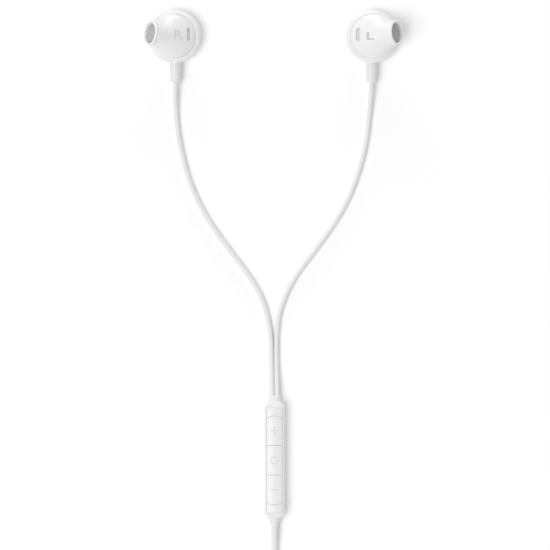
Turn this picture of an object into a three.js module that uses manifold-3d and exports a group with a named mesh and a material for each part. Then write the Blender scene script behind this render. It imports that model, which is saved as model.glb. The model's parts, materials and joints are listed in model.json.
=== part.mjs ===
// Wired earphones: two half-in-ear buds on a joined pair of cords, a three-key remote and a four-pole plug.
// Millimetres, +Z up. The set lies on its back on z = 0 with the buds at the +Y end. The origin is the middle
// of the rigid pieces: half way between the tops of the buds and the lower end of the remote.

import * as THREE from "three";
import { LoftGeometry } from "three/addons/geometries/LoftGeometry.js";
import { mergeVertices } from "three/addons/utils/BufferGeometryUtils.js";
import Module from "manifold-3d";

const wasm = await Module();
wasm.setup();

// ---------------------------------------------------------------- driving dimensions

// The lie of the set
const REACH = 164.6; // tops of the buds to the lower end of the remote's lower boot
const BUD_SPACING = 63.2; // between the middles of the buds
const REMOTE_ASIDE = 0.35; // the remote lies a little to the left bud's side
const SLIP = 0.1; // clearance all round a piece that fits in another
const SEAM = 0.05; // between two end faces that butt
const PAST = 1; // how far a cutting body runs past what it cuts
const BITE = 0.1; // overlap of two bodies that are joined

// Bud, back shell
const BUD_RADIUS = 8.5;
const BACK_CORNER = 2.9; // width of the rounding between the flat back and the bud's edge
const BACK_WAIST_Z = 3.0; // where the back shell is widest
const BACK_RIM_Z = 4.5; // top of the rim
const BACK_BULGE = 0.3; // how much the corner of the bowl is drawn in
const BACK_FLOOR = 0.9; // thickness under the driver
const RIM_SHOULDER = 0.25; // height of the rim's rounded edge
const SEAT_WIDTH = 0.9; // ledge that the driver rests on
const GROOVE_WIDTH = 0.4; // chamfer that makes the groove between rim and front shell
const GROOVE_DEPTH = 0.35;

// Bud, front shell and nozzle
const RIM_WIDTH = 1.5; // seen from the front, outside the front shell
const FRONT_WALL = 0.75;
const LINING_RISE = 0.63; // how high the inside curves, as a share of the outside
const SPIGOT_DEPTH = 0.6; // how far the front shell reaches into the rim
const FOOT_WIDTH = 0.5; // how far the front shell's foot covers the driver's edge
const FOOT_HEIGHT = 0.5;
const FAR_SIDE = { lean: -0.35, rise: 3.4, run: 4.6 }; // the shell's curve away from the nozzle
const NEAR_SIDE = { lean: 1.9, rise: 1.1, run: 0.7 }; // and under it
const NOZZLE_REACH = 7.95; // from the bud's middle to the middle of the opening, sideways
const NOZZLE_RISE = 0.95; // and towards +Y
const NOZZLE_HEIGHT = 9.0; // and above the table
const NOZZLE_TILT = 59; // degrees from straight up
const NOZZLE_SWING = 6; // degrees from square to the stem
const LIP_RADIUS = 3.68; // middle of the rounded lip
const LIP_THICKNESS = 0.94;
const NECK_RADIUS = 3.95; // shell just behind the lip
const NECK_BACK = 1.2; // how far behind the lip's crest the neck starts
const NECK_GROOVE = 0.12;
const NECK_LEDGE = 0.25; // width of that groove
const MESH_DEPTH = 1.3; // seat of the nozzle mesh behind the lip's crest
const MESH_SEAT = 0.36; // width of that seat
const MESH_THICKNESS = 0.25;
const MESH_DOME = 0.25;

// Vent slot on the side away from the nozzle
const SLOT_OFFSET = 4.6;
const SLOT_RISE = 0.6;
const SLOT_WIDTH = 1.3;
const SLOT_LENGTH = 4.4;
const SCREEN_MARGIN = 0.35; // how far the screen reaches past the slot
const SCREEN_DEPTH = 0.9; // from the outer surface down to the screen
const SCREEN_THICKNESS = 0.2;

// Stem boot of a bud
const STEM_OFFSET = 0.3; // towards the middle of the set
const STEM_AXIS_Z = 2.3;
const STEM_RADIUS = 1.88;
const STEM_END_RADIUS = 1.65;
const STEM_LENGTH = 6.1; // from the bud's edge
const STEM_CHAMFER = 0.25;
const BOSS_STAND = 0.25; // boss on the back shell, past the bud's edge
const BOOT_NECK_RADIUS = 0.95;
const BOOT_FLANGE_RADIUS = 1.2;
const BOOT_FLANGE = 0.45;
const POCKET_WALL = 1.45; // back shell left outside the flange's pocket

// Driver
const DRIVER_MARGIN = 2.3; // from the driver's edge to the bud's edge
const DRIVER_SEAT_Z = 1.9;
const FRAME_RIM = 0.45;
const FRAME_WEB = 0.4;
const FRAME_COLLAR = 0.3;
const COVER_THICKNESS = 0.4;
const COVER_HOLES = 5;
const COVER_HOLE_RADIUS = 0.85;
const COVER_HOLE_CIRCLE = 3.4;
const DIAPHRAGM_GAP = 0.15; // to the frame's rim
const DIAPHRAGM_THICKNESS = 0.2;
const DIAPHRAGM_DOME = 0.4;
const SURROUND_RISE = 0.25; // of the rolled edge
const DIAPHRAGM_TRAVEL = 0.15; // each way, as the joint has it
const YOKE_MARGIN = 2.6; // from the yoke to the driver's edge
const YOKE_WALL = 0.4;
const YOKE_LIFT = 0.2; // from the back shell's floor
const MAGNET_MARGIN = 1.3; // from the magnet to the yoke's outside
const MAGNET_HEIGHT = 0.85;
const TOP_PLATE_LIP = 0.15; // past the magnet
const TOP_PLATE_HEIGHT = 0.35;
const COIL_WALL = 0.25;
const COIL_HEIGHT = 1.2;
const TERMINAL_BOARD = { width: 2.8, length: 1.1, height: 0.2 };
const TERMINAL_GAP = 0.35; // to the wall of the well

// Remote
const REMOTE_WIDTH = 6.6;
const REMOTE_EDGE_Z = 4.15; // top edge of the tray
const REMOTE_EDGES = [
  // share of the tray's height, and how far its outline is drawn in there
  [0, 1.0],
  [0.053, 0.45],
  [0.169, 0.1],
  [0.36, 0],
  [0.72, 0],
  [0.89, 0.12],
  [0.97, 0.36],
  [1, 0.6],
];
const REMOTE_CROWN_Z = 4.45; // middle of the keys
const COLLAR_WIDTH = 3.9; // end faces of the tray
const LOWER_SHOULDER = 1.9;
const UPPER_SHOULDER = 2.1;
const SHOULDER_BEND = 0.3; // share of a shoulder where its curve turns
const COLLAR_DRAW = 0.6; // share of the drawn-in edge that the end faces take
const FACE_WIDTH = 4.8;
const FACE_GAP = 0.15; // groove round the face strip
const FACE_CORNER = 0.4;
const FACE_EDGE_Z = 4.1; // long edges of the crowned face strip
const DECK_Z = 3.1; // ledge that the front cover's deck lies on
const DECK_THICKNESS = 0.4;
const LEDGE = 0.35; // width of that ledge
const BOARD_Z = 1.4; // ledge that the circuit board lies on
const BOARD_LEDGE = 0.6;
const BOARD_THICKNESS = 0.5;
const TRAY_FLOOR = 0.8;
const MIC_RADIUS = 1.0;
const MIC_HEIGHT = 0.8;
const MIC_PORT_RADIUS = 0.35;
const MIC_GAP = 0.2; // to the last switch

// Keys
const KEY_COUNT = 3;
const KEYS_LENGTH = 28.4; // from arch top to arch top
const PAD_LENGTH = 2.5; // fixed pad past the keys at each end
const ARCH_RISE = 0.9; // rise of the rounded outer ends
const KEY_GAP = 0.16;
const KEY_TRAVEL = 0.25; // as the joints have it
const PLUNGER_RADIUS = 0.7;
const PLUNGER_FOOT_RADIUS = 1.2; // foot under the deck, which holds the key in
const SWITCH_SIZE = 2.6;
const SWITCH_HEIGHT = 0.35;
const DOME_RADIUS = 0.8;
const DOME_HEIGHT = 0.2;

// Boots of the remote
const REMOTE_AXIS_Z = 2.0;
const SPLIT_BOOT_LENGTH = 2.4;
const SPLIT_BOOT_SHAPE = [
  // share of the length, width and height
  [0.6, 3.7, 2.65],
  [0.9, 3.58, 2.27],
  [1, 3.35, 1.95],
];
const SPLIT_FACE = { width: 3.8, height: 3.0 };
const SPLIT_NECK = { width: 2.8, height: 1.2 };
const LOWER_BOOT_LENGTH = 2.1;
const LOWER_BOOT_SHAPE = [
  // share of the length, and radius
  [0.25, 1.75],
  [0.85, 1.35],
  [1, 1.2],
];
const LOWER_FACE_RADIUS = 1.85;
const LOWER_NECK_RADIUS = 0.7;
const REMOTE_FLANGE = 0.6; // thickness of the flanges inside
const FLANGE_LIP = 0.3; // how far a flange reaches past its neck

// Cords
const BRANCH_DIAMETER = 1.6;
const MAIN_DIAMETER = 2.2;
const COIL_MEAN_RADIUS = 13.2;
const COIL_COLUMNS = 6; // turns side by side
const COIL_LAYERS = 2; // turns on each other
const COIL_PITCH = 2.25; // from one turn to the next
const COIL_CENTRE_Y = -125;
const TIE_THICKNESS = 0.35;
const TIE_WIDTH = 5;

// Plug
const PLUG_RADIUS = 2.8;
const PLUG_HOUSING_LENGTH = 13;
const PLUG_EDGE = 0.5;
const PLUG_BOOT_LENGTH = 8;
const PLUG_BOOT_RADIUS = 2.2;
const PLUG_BOOT_BAND = 0.8; // straight part next to the housing
const PLUG_BOOT_END_RADIUS = 1.5;
const PLUG_NECK_RADIUS = 1.6;
const PLUG_NECK_LENGTH = 2.5;
const PIN_RADIUS = 1.75;
const PIN_LENGTH = 14;
const PIN_TIP_LENGTH = 3.9;
const PIN_RING_LENGTH = 1.9;
const PIN_INSULATOR = 0.4;
const PIN_TIP_SHAPE = [
  // share of the tip's length, and radius
  [0.35, 1.75],
  [0.5, 1.15],
  [0.68, 1.65],
  [0.96, 0.5],
];
const PIN_ROD_RADIUS = 0.5; // rod that carries the poles
const PIN_SHANK_RADIUS = 1.2; // sleeve inside the housing
const PIN_SHANK_LENGTH = 4;
const PLUG_ASIDE = -11.65;
const PLUG_FROM_COIL = 8; // from the coil's middle back to the cord's end of the boot

// Fineness of the round pieces
const ROUND_BIG = 28;
const ROUND_MID = 16;
const ROUND_SMALL = 14;
const CORD_SIDES = 8;
const CURVE_STEPS = 6; // along a curve of a plan outline
const CORD_STEP = 3; // diameters
const SHELL_RINGS = 8; // along the outside of the front shell
const LINING_RINGS = 5; // and along its inside
const WELD = 1e-4;

// ---------------------------------------------------------------- worked-out places

const HALF_REACH = REACH / 2;
const BUD_Y = HALF_REACH - BUD_RADIUS;
const BACK_FLAT_RADIUS = BUD_RADIUS - BACK_CORNER;
const FRONT_RADIUS = BUD_RADIUS - RIM_WIDTH;
const RIM_BORE = FRONT_RADIUS + SLIP;
const SPIGOT_Z = BACK_RIM_Z - SPIGOT_DEPTH;
const DRIVER_RADIUS = BUD_RADIUS - DRIVER_MARGIN;
const DRIVER_BORE = DRIVER_RADIUS + SLIP;
const DIAPHRAGM_RADIUS = DRIVER_RADIUS - FRAME_RIM - DIAPHRAGM_GAP;
const WELL_RADIUS = DRIVER_RADIUS - SEAT_WIDTH;
const STEM_END = BUD_RADIUS + STEM_LENGTH;
const BOSS_FACE = BUD_RADIUS + BOSS_STAND;
const FLANGE_OUTSIDE = BUD_RADIUS - POCKET_WALL - SLIP;
const YOKE_RADIUS = DRIVER_RADIUS - YOKE_MARGIN;
const MAGNET_RADIUS = YOKE_RADIUS - MAGNET_MARGIN;
const TOP_PLATE_RADIUS = MAGNET_RADIUS + TOP_PLATE_LIP;
const YOKE_Z = BACK_FLOOR + YOKE_LIFT;
const MAGNET_Z = YOKE_Z + YOKE_WALL;
const TOP_PLATE_Z = MAGNET_Z + MAGNET_HEIGHT;
const COVER_Z = BACK_RIM_Z - SLIP - COVER_THICKNESS;
const COIL_GAP = (YOKE_RADIUS - YOKE_WALL - TOP_PLATE_RADIUS - COIL_WALL) / 2;
const COIL_INNER = TOP_PLATE_RADIUS + COIL_GAP;
const COIL_TOP_Z = TOP_PLATE_Z + TOP_PLATE_HEIGHT + DIAPHRAGM_TRAVEL + 2 * SLIP;

const FACE_LENGTH = KEYS_LENGTH + 2 * PAD_LENGTH;
const SHOULDER_TOP = LOWER_SHOULDER + FACE_LENGTH;
const TRAY_LENGTH = SHOULDER_TOP + UPPER_SHOULDER;
const TRAY_Y = -HALF_REACH + LOWER_BOOT_LENGTH;
const FACE_MIDDLE = LOWER_SHOULDER + FACE_LENGTH / 2;
const CAVITY_LENGTH = FACE_LENGTH - 2 * LEDGE;
const CAVITY_WIDTH = FACE_WIDTH + 2 * FACE_GAP - 2 * LEDGE;
const BOARD_TOP_Z = BOARD_Z + BOARD_THICKNESS;
const BOARD_LENGTH = CAVITY_LENGTH - 2 * (REMOTE_FLANGE + 4 * SLIP);
const SWITCH_TOP_Z = BOARD_TOP_Z + SWITCH_HEIGHT + DOME_HEIGHT;
const DECK_TOP_Z = DECK_Z + DECK_THICKNESS;
const KEY_UNDER_Z = DECK_TOP_Z + KEY_TRAVEL + SEAM;
const KEY_PITCH = KEYS_LENGTH / KEY_COUNT;

const COIL_HALF_WIDTH = (COIL_COLUMNS * COIL_PITCH) / 2;
const COIL_HEIGHT_Z = (COIL_LAYERS - 1) * COIL_PITCH + MAIN_DIAMETER;
const COIL_BASE_Z = TIE_THICKNESS + SEAM;
const COIL_CENTRE_X = REMOTE_ASIDE + COIL_MEAN_RADIUS + ((COIL_COLUMNS - 1) / 2) * COIL_PITCH;
const PLUG_Y = COIL_CENTRE_Y - PLUG_FROM_COIL;

// ---------------------------------------------------------------- finishes

const finish = (color, roughness, metalness = 0) => ({ color, roughness, metalness });
const SHELL_WHITE = finish(0xf4f4f3, 0.35);
const SOFT_WHITE = finish(0xf1f1f0, 0.55);
const MESH_GREY = finish(0x9a9a9c, 0.5, 0.6);
const STEEL = finish(0xb8bcc0, 0.35, 1);
const MAGNET_NICKEL = finish(0xa9abad, 0.3, 1);
const COPPER = finish(0xb86f3c, 0.4, 1);
const FILM = finish(0xcfc7b4, 0.45);
const DARK_PLASTIC = finish(0x2c2c2e, 0.6);
const BOARD_GREEN = finish(0x2e6a46, 0.55);
const GOLD = finish(0xd6b25e, 0.25, 1);

// ---------------------------------------------------------------- helpers

/** Merges shared corners and turns the faces outwards. */
function closed(geometry) {
  const bare = new THREE.BufferGeometry().setAttribute("position", geometry.getAttribute("position").clone());
  bare.setIndex(geometry.index);
  const merged = mergeVertices(bare, WELD);
  return signedVolume(merged) < 0 ? flipped(merged) : merged;
}

function signedVolume(geometry) {
  const p = geometry.getAttribute("position");
  const corner = [new THREE.Vector3(), new THREE.Vector3(), new THREE.Vector3()];
  let six = 0;
  for (let i = 0; i < geometry.index.count; i += 3) {
    corner.forEach((v, k) => v.fromBufferAttribute(p, geometry.index.getX(i + k)));
    six += corner[0].dot(corner[1].clone().cross(corner[2]));
  }
  return six / 6;
}

function flipped(geometry) {
  const index = Array.from(geometry.index.array);
  for (let i = 0; i < index.length; i += 3) [index[i + 1], index[i + 2]] = [index[i + 2], index[i + 1]];
  geometry.setIndex(index);
  return geometry;
}

function solid(geometry) {
  const g = closed(geometry);
  return new wasm.Manifold(
    new wasm.Mesh({
      numProp: 3,
      vertProperties: new Float32Array(g.getAttribute("position").array),
      triVerts: new Uint32Array(g.index.array),
    }),
  );
}

function geometryOf(manifold) {
  const mesh = manifold.getMesh();
  return new THREE.BufferGeometry()
    .setAttribute("position", new THREE.BufferAttribute(mesh.vertProperties, 3))
    .setIndex(new THREE.BufferAttribute(mesh.triVerts, 1));
}

const cut = (body, ...tools) => geometryOf(tools.reduce((left, tool) => left.subtract(solid(tool)), solid(body)));
const joined = (body, ...others) => geometryOf(others.reduce((sum, other) => sum.add(solid(other)), solid(body)));
const common = (a, b) => geometryOf(solid(a).intersect(solid(b)));

/** A named mesh with its own material. */
function piece(name, geometry, look) {
  const faces = closed(geometry);
  faces.computeVertexNormals();
  const mesh = new THREE.Mesh(faces, new THREE.MeshStandardMaterial(look));
  mesh.name = name;
  return mesh;
}

/** Revolves [radius, height] pairs round Z. */
function turned(pairs, segments = ROUND_MID) {
  const points = pairs.map(([r, z]) => new THREE.Vector2(r, z));
  return new THREE.LatheGeometry(points, segments).rotateX(Math.PI / 2);
}

/** Revolves [radius, distance] pairs round an axis that runs towards -Y. */
const turnedDown = (pairs, segments) => turned(pairs, segments).rotateX(Math.PI / 2);

/** A closed ring or tube section: four corners in, four corners out. */
const ringProfile = (inner, outer, low, high) => [
  [inner, low],
  [outer, low],
  [outer, high],
  [inner, high],
  [inner, low],
];

const discProfile = (radius, low, high) => [
  [0, low],
  [radius, low],
  [radius, high],
  [0, high],
];

function box(width, length, height, x = 0, y = 0, z = 0) {
  return new THREE.BoxGeometry(width, length, height).translate(x, y, z + height / 2);
}

/** An upright prism of a plan outline, from height low to height high. */
function prism(shape, low, high, curveSegments = CURVE_STEPS) {
  const options = { depth: high - low, bevelEnabled: false, curveSegments };
  return new THREE.ExtrudeGeometry(shape, options).translate(0, 0, low);
}

function roundedRectangle(width, length, corner) {
  const [x, y] = [width / 2, length / 2];
  const shape = new THREE.Shape();
  shape.moveTo(-x + corner, -y);
  shape.lineTo(x - corner, -y);
  shape.absarc(x - corner, -y + corner, corner, -Math.PI / 2, 0);
  shape.lineTo(x, y - corner);
  shape.absarc(x - corner, y - corner, corner, 0, Math.PI / 2);
  shape.lineTo(-x + corner, y);
  shape.absarc(-x + corner, y - corner, corner, Math.PI / 2, Math.PI);
  shape.lineTo(-x, -y + corner);
  shape.absarc(-x + corner, -y + corner, corner, Math.PI, 1.5 * Math.PI);
  return shape;
}

/** A slot with round ends, long along Y. */
const stadium = (width, length) => roundedRectangle(width, length, width / 2);

function circlePath(x, y, radius) {
  const path = new THREE.Path();
  path.absarc(x, y, radius, 0, 2 * Math.PI);
  return path;
}

/** Points of a curve of [radius, height] pairs, from a quadratic bend. */
function bend(from, control, to, steps) {
  const curve = new THREE.QuadraticBezierCurve(
    new THREE.Vector2(...from),
    new THREE.Vector2(...control),
    new THREE.Vector2(...to),
  );
  return curve.getPoints(steps).map((p) => [p.x, p.y]);
}

// ---------------------------------------------------------------- bud: back shell and stem boot

/** A cylinder along the stem, between two distances from the bud's middle. */
function stemCylinder(radius, from, to) {
  return turnedDown(discProfile(radius, from, to), ROUND_SMALL).translate(STEM_OFFSET, 0, STEM_AXIS_Z);
}

/** Bowl with a flat back, a rounded rim, a bore for the driver, and a boss for the stem boot. */
function backShell() {
  const rimTop = [RIM_BORE + GROOVE_WIDTH, BACK_RIM_Z];
  const bowl = turned(
    [
      [0, 0],
      ...bend([BACK_FLAT_RADIUS, 0], [BUD_RADIUS - BACK_BULGE, 0], [BUD_RADIUS, BACK_WAIST_Z], 5),
      ...bend([BUD_RADIUS, BACK_WAIST_Z], [BUD_RADIUS, BACK_RIM_Z - RIM_SHOULDER], rimTop, 3).slice(1),
      [RIM_BORE, BACK_RIM_Z - GROOVE_DEPTH],
      [RIM_BORE, SPIGOT_Z],
      [DRIVER_BORE, SPIGOT_Z],
      [DRIVER_BORE, DRIVER_SEAT_Z],
      [WELL_RADIUS, DRIVER_SEAT_Z],
      [WELL_RADIUS, BACK_FLOOR],
      [0, BACK_FLOOR],
    ],
    ROUND_BIG,
  );
  const boss = stemCylinder(STEM_RADIUS, BUD_RADIUS - POCKET_WALL + SLIP, BOSS_FACE);
  const pocketDepth = FLANGE_OUTSIDE + SLIP - (DRIVER_RADIUS - FRAME_RIM);
  const pocket = box(
    2 * (BOOT_FLANGE_RADIUS + 2 * SLIP),
    pocketDepth,
    SPIGOT_Z - STEM_AXIS_Z + BOOT_FLANGE_RADIUS + SLIP,
    STEM_OFFSET,
    -(FLANGE_OUTSIDE + SLIP) + pocketDepth / 2,
    STEM_AXIS_Z - BOOT_FLANGE_RADIUS - SLIP,
  );
  const hole = stemCylinder(BOOT_NECK_RADIUS + SLIP, FLANGE_OUTSIDE - SLIP, BOSS_FACE + PAST);
  return cut(joined(bowl, boss), pocket, hole);
}

/** Soft boot: flange inside the shell, neck through the boss, tapered sleeve outside. */
function stemBoot() {
  const sleeveTop = BOSS_FACE + SEAM;
  return turnedDown(
    [
      [0, FLANGE_OUTSIDE - BOOT_FLANGE],
      [BOOT_FLANGE_RADIUS, FLANGE_OUTSIDE - BOOT_FLANGE],
      [BOOT_FLANGE_RADIUS, FLANGE_OUTSIDE],
      [BOOT_NECK_RADIUS, FLANGE_OUTSIDE],
      [BOOT_NECK_RADIUS, sleeveTop],
      [STEM_RADIUS, sleeveTop],
      [STEM_END_RADIUS, STEM_END - STEM_CHAMFER],
      [STEM_END_RADIUS - STEM_CHAMFER, STEM_END],
      [0, STEM_END],
    ],
    ROUND_SMALL,
  ).translate(STEM_OFFSET, 0, STEM_AXIS_Z);
}

// ---------------------------------------------------------------- bud: front shell

const tilt = THREE.MathUtils.degToRad(NOZZLE_TILT);
const swing = THREE.MathUtils.degToRad(NOZZLE_SWING);
const nozzleCentre = new THREE.Vector3(-NOZZLE_REACH, NOZZLE_RISE, NOZZLE_HEIGHT);
const nozzleAxis = new THREE.Vector3(
  -Math.sin(tilt) * Math.cos(swing),
  Math.sin(tilt) * Math.sin(swing),
  Math.cos(tilt),
);
const nozzleUp = new THREE.Vector3(
  Math.cos(tilt) * Math.cos(swing),
  -Math.cos(tilt) * Math.sin(swing),
  Math.sin(tilt),
);
const nozzleAcross = new THREE.Vector3(Math.sin(swing), Math.cos(swing), 0);

/** The point at angle u of a circle round the nozzle's axis, at a distance along it from the lip's crest. */
function nozzlePoint(u, radius, along) {
  return nozzleCentre
    .clone()
    .addScaledVector(nozzleUp, radius * Math.cos(u))
    .addScaledVector(nozzleAcross, radius * Math.sin(u))
    .addScaledVector(nozzleAxis, along);
}

const basePoint = (u, radius, z) => new THREE.Vector3(radius * Math.cos(u), radius * Math.sin(u), z);

/** How far the angle u faces the nozzle: 0 on the far side, 1 below the nozzle. */
const nozzleSide = (u) => (1 - Math.cos(u)) / 2;

/**
 * One generator of the front shell: it leaves the base circle leaning in on the far side and flaring out
 * under the nozzle, and it arrives along the nozzle's axis.
 */
function generator(u, baseRadius, baseZ, neckRadius, neckBack, lift = 1) {
  const side = nozzleSide(u);
  const lean = THREE.MathUtils.lerp(FAR_SIDE.lean, NEAR_SIDE.lean, THREE.MathUtils.smoothstep(side, 0, 1));
  const rise = THREE.MathUtils.lerp(FAR_SIDE.rise, NEAR_SIDE.rise, side);
  const run = THREE.MathUtils.lerp(FAR_SIDE.run, NEAR_SIDE.run, side);
  const start = basePoint(u, baseRadius, baseZ);
  const end = nozzlePoint(u, neckRadius, -neckBack);
  const away = basePoint(u, lean, 1).normalize();
  return new THREE.CubicBezierCurve3(
    start,
    start.clone().addScaledVector(away, lift * rise),
    end.clone().addScaledVector(nozzleAxis, -run),
    end,
  );
}

const outerGenerator = (u) => generator(u, FRONT_RADIUS, BACK_RIM_Z, NECK_RADIUS, NECK_BACK);
const innerGenerator = (u) =>
  generator(
    u,
    FRONT_RADIUS - FRONT_WALL,
    BACK_RIM_Z + FOOT_HEIGHT,
    LIP_RADIUS - LIP_THICKNESS / 2 - MESH_SEAT,
    MESH_DEPTH + FRONT_WALL,
    LINING_RISE,
  );

/** The rounded lip and the mesh's seat, as [radius, distance along the axis] from the neck inwards. */
function lipProfile() {
  const half = LIP_THICKNESS / 2;
  const round = [-50, 10, 70, 125, 180].map(THREE.MathUtils.degToRad);
  const bore = LIP_RADIUS - half;
  return [
    [NECK_RADIUS - NECK_GROOVE, NECK_LEDGE - NECK_BACK],
    ...round.map((angle) => [LIP_RADIUS + half * Math.cos(angle), half * Math.sin(angle) - half]),
    [bore, -MESH_DEPTH],
    [bore - MESH_SEAT, -MESH_DEPTH],
  ];
}

/** The foot and the spigot, as [radius, height] from the inner surface round to the groove. */
function footProfile() {
  const inside = FRONT_RADIUS - FRONT_WALL;
  const foot = DRIVER_RADIUS - FOOT_WIDTH;
  return [
    [foot, BACK_RIM_Z + FOOT_HEIGHT],
    [foot, BACK_RIM_Z],
    [inside + SLIP, BACK_RIM_Z],
    [inside + SLIP, SPIGOT_Z],
    [FRONT_RADIUS, SPIGOT_Z],
  ];
}

/** Where the shell's outer surface is, t of the way up the generator at angle u, and which way it faces. */
function surfaceAt(u, t) {
  const du = 0.01;
  const point = outerGenerator(u).getPoint(t);
  const along = outerGenerator(u).getTangent(t);
  const across = outerGenerator(u + du).getPoint(t).sub(outerGenerator(u - du).getPoint(t));
  return { point, normal: across.cross(along).normalize() };
}

/** The matrix that carries the slot, drawn flat at the origin, to its place on the far side. */
function slotPlace() {
  const u = Math.atan2(SLOT_RISE, SLOT_OFFSET);
  let [low, high] = [0, 1];
  for (let i = 0; i < 30; i++) {
    const t = (low + high) / 2;
    if (outerGenerator(u).getPoint(t).x > SLOT_OFFSET) low = t;
    else high = t;
  }
  const { point, normal } = surfaceAt(u, low);
  const across = new THREE.Vector3(0, 1, 0).cross(normal).normalize();
  const along = normal.clone().cross(across);
  return new THREE.Matrix4().makeBasis(across, along, normal).setPosition(point);
}

function frontShell() {
  const angles = Array.from({ length: ROUND_BIG }, (_, i) => (2 * Math.PI * i) / ROUND_BIG);
  const alongCurve = (curveAt, steps) =>
    Array.from({ length: steps + 1 }, (_, k) => angles.map((u) => curveAt(u).getPoint(k / steps)));
  const rings = [
    ...alongCurve(outerGenerator, SHELL_RINGS),
    ...lipProfile().map(([r, s]) => angles.map((u) => nozzlePoint(u, r, s))),
    ...alongCurve(innerGenerator, LINING_RINGS).reverse(),
    ...footProfile().map(([r, z]) => angles.map((u) => basePoint(u, r, z))),
  ];
  const shell = new LoftGeometry([...rings, rings[0]]);
  const place = slotPlace();
  const slot = prism(stadium(SLOT_WIDTH, SLOT_LENGTH), -3, 3, 4).applyMatrix4(place);
  const seat = stadium(SLOT_WIDTH + 2 * (SCREEN_MARGIN + SLIP), SLOT_LENGTH + 2 * (SCREEN_MARGIN + SLIP));
  const pocket = prism(seat, -3, -SCREEN_DEPTH, 4).applyMatrix4(place);
  return cut(shell, slot, pocket);
}

/** Woven screen behind the slot. */
function ventScreen() {
  const outline = stadium(SLOT_WIDTH + 2 * SCREEN_MARGIN, SLOT_LENGTH + 2 * SCREEN_MARGIN);
  const top = -SCREEN_DEPTH - SEAM;
  return prism(outline, top - SCREEN_THICKNESS, top, 4).applyMatrix4(slotPlace());
}

/** Gently domed woven disc on the seat inside the lip. */
function nozzleMesh() {
  const radius = LIP_RADIUS - LIP_THICKNESS / 2 - SLIP;
  const back = SEAM - MESH_DEPTH;
  const disc = turned([
    [0, back],
    [radius, back],
    [radius, back + MESH_THICKNESS],
    [radius / 2, back + MESH_THICKNESS + 0.75 * MESH_DOME],
    [0, back + MESH_THICKNESS + MESH_DOME],
  ]);
  const place = new THREE.Matrix4().makeBasis(nozzleUp, nozzleAcross, nozzleAxis).setPosition(nozzleCentre);
  return disc.applyMatrix4(place);
}

// ---------------------------------------------------------------- bud: driver

/** Ring with a web and a collar that carries the magnet's yoke. */
function driverFrame() {
  const collar = YOKE_RADIUS + SLIP;
  const webTop = DRIVER_SEAT_Z + FRAME_WEB;
  const rimTop = COVER_Z - SEAM;
  return turned([
    [collar, DRIVER_SEAT_Z],
    [DRIVER_RADIUS, DRIVER_SEAT_Z],
    [DRIVER_RADIUS, rimTop],
    [DRIVER_RADIUS - FRAME_RIM, rimTop],
    [DRIVER_RADIUS - FRAME_RIM, webTop],
    [collar + FRAME_COLLAR, webTop],
    [collar + FRAME_COLLAR, webTop + FRAME_COLLAR],
    [collar, webTop + FRAME_COLLAR],
    [collar, DRIVER_SEAT_Z],
  ]);
}

/** Perforated plate over the diaphragm. */
function driverCover() {
  const shape = new THREE.Shape();
  shape.absarc(0, 0, DRIVER_RADIUS, 0, 2 * Math.PI);
  shape.holes.push(circlePath(0, 0, COVER_HOLE_RADIUS));
  for (let i = 0; i < COVER_HOLES; i++) {
    const angle = (2 * Math.PI * i) / COVER_HOLES;
    const [x, y] = [COVER_HOLE_CIRCLE * Math.cos(angle), COVER_HOLE_CIRCLE * Math.sin(angle)];
    shape.holes.push(circlePath(x, y, COVER_HOLE_RADIUS));
  }
  return prism(shape, COVER_Z, COVER_Z + COVER_THICKNESS);
}

/** Dome in the middle and a rolled surround, in one thin film. */
function diaphragm() {
  const seat = COIL_INNER + COIL_WALL;
  const under = [
    [0, COIL_TOP_Z + DIAPHRAGM_DOME],
    [0.6 * seat, COIL_TOP_Z + 0.7 * DIAPHRAGM_DOME],
    [COIL_INNER, COIL_TOP_Z],
    [seat, COIL_TOP_Z],
    [(seat + DIAPHRAGM_RADIUS) / 2, COIL_TOP_Z + SURROUND_RISE],
    [DIAPHRAGM_RADIUS, COIL_TOP_Z],
  ];
  const over = under.map(([r, z]) => [r, z + DIAPHRAGM_THICKNESS]).reverse();
  return turned([...under, ...over]);
}

function yoke() {
  const inner = YOKE_RADIUS - YOKE_WALL;
  const top = TOP_PLATE_Z + TOP_PLATE_HEIGHT;
  return turned([...discProfile(YOKE_RADIUS, YOKE_Z, top).slice(0, 3), [inner, top], [inner, MAGNET_Z], [0, MAGNET_Z]]);
}

function terminalBoard() {
  const { width, length, height } = TERMINAL_BOARD;
  const y = TERMINAL_GAP + length / 2 - WELL_RADIUS;
  return box(width, length, height, 0, y, DRIVER_SEAT_Z - SEAM - height);
}

/** All pieces of one bud, drawn for the right ear: its nozzle points towards -X and its stem towards -Y. */
function bud(side) {
  const group = new THREE.Group();
  const add = (name, geometry, look) => group.add(piece(`${side}_${name}`, geometry, look));
  const coilOuter = COIL_INNER + COIL_WALL;
  add("back_shell", backShell(), SHELL_WHITE);
  add("front_shell", frontShell(), SHELL_WHITE);
  add("cable_boot", stemBoot(), SOFT_WHITE);
  add("nozzle_mesh", nozzleMesh(), MESH_GREY);
  add("vent_screen", ventScreen(), MESH_GREY);
  add("driver_frame", driverFrame(), DARK_PLASTIC);
  add("driver_cover", driverCover(), STEEL);
  add("diaphragm", diaphragm(), FILM);
  add("voice_coil", turned(ringProfile(COIL_INNER, coilOuter, COIL_TOP_Z - COIL_HEIGHT, COIL_TOP_Z)), COPPER);
  add("top_plate", turned(discProfile(TOP_PLATE_RADIUS, TOP_PLATE_Z, TOP_PLATE_Z + TOP_PLATE_HEIGHT)), STEEL);
  add("magnet", turned(discProfile(MAGNET_RADIUS, MAGNET_Z, TOP_PLATE_Z)), MAGNET_NICKEL);
  add("yoke", yoke(), STEEL);
  add("terminal_board", terminalBoard(), BOARD_GREEN);
  return group;
}

// ---------------------------------------------------------------- remote: housing

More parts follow.
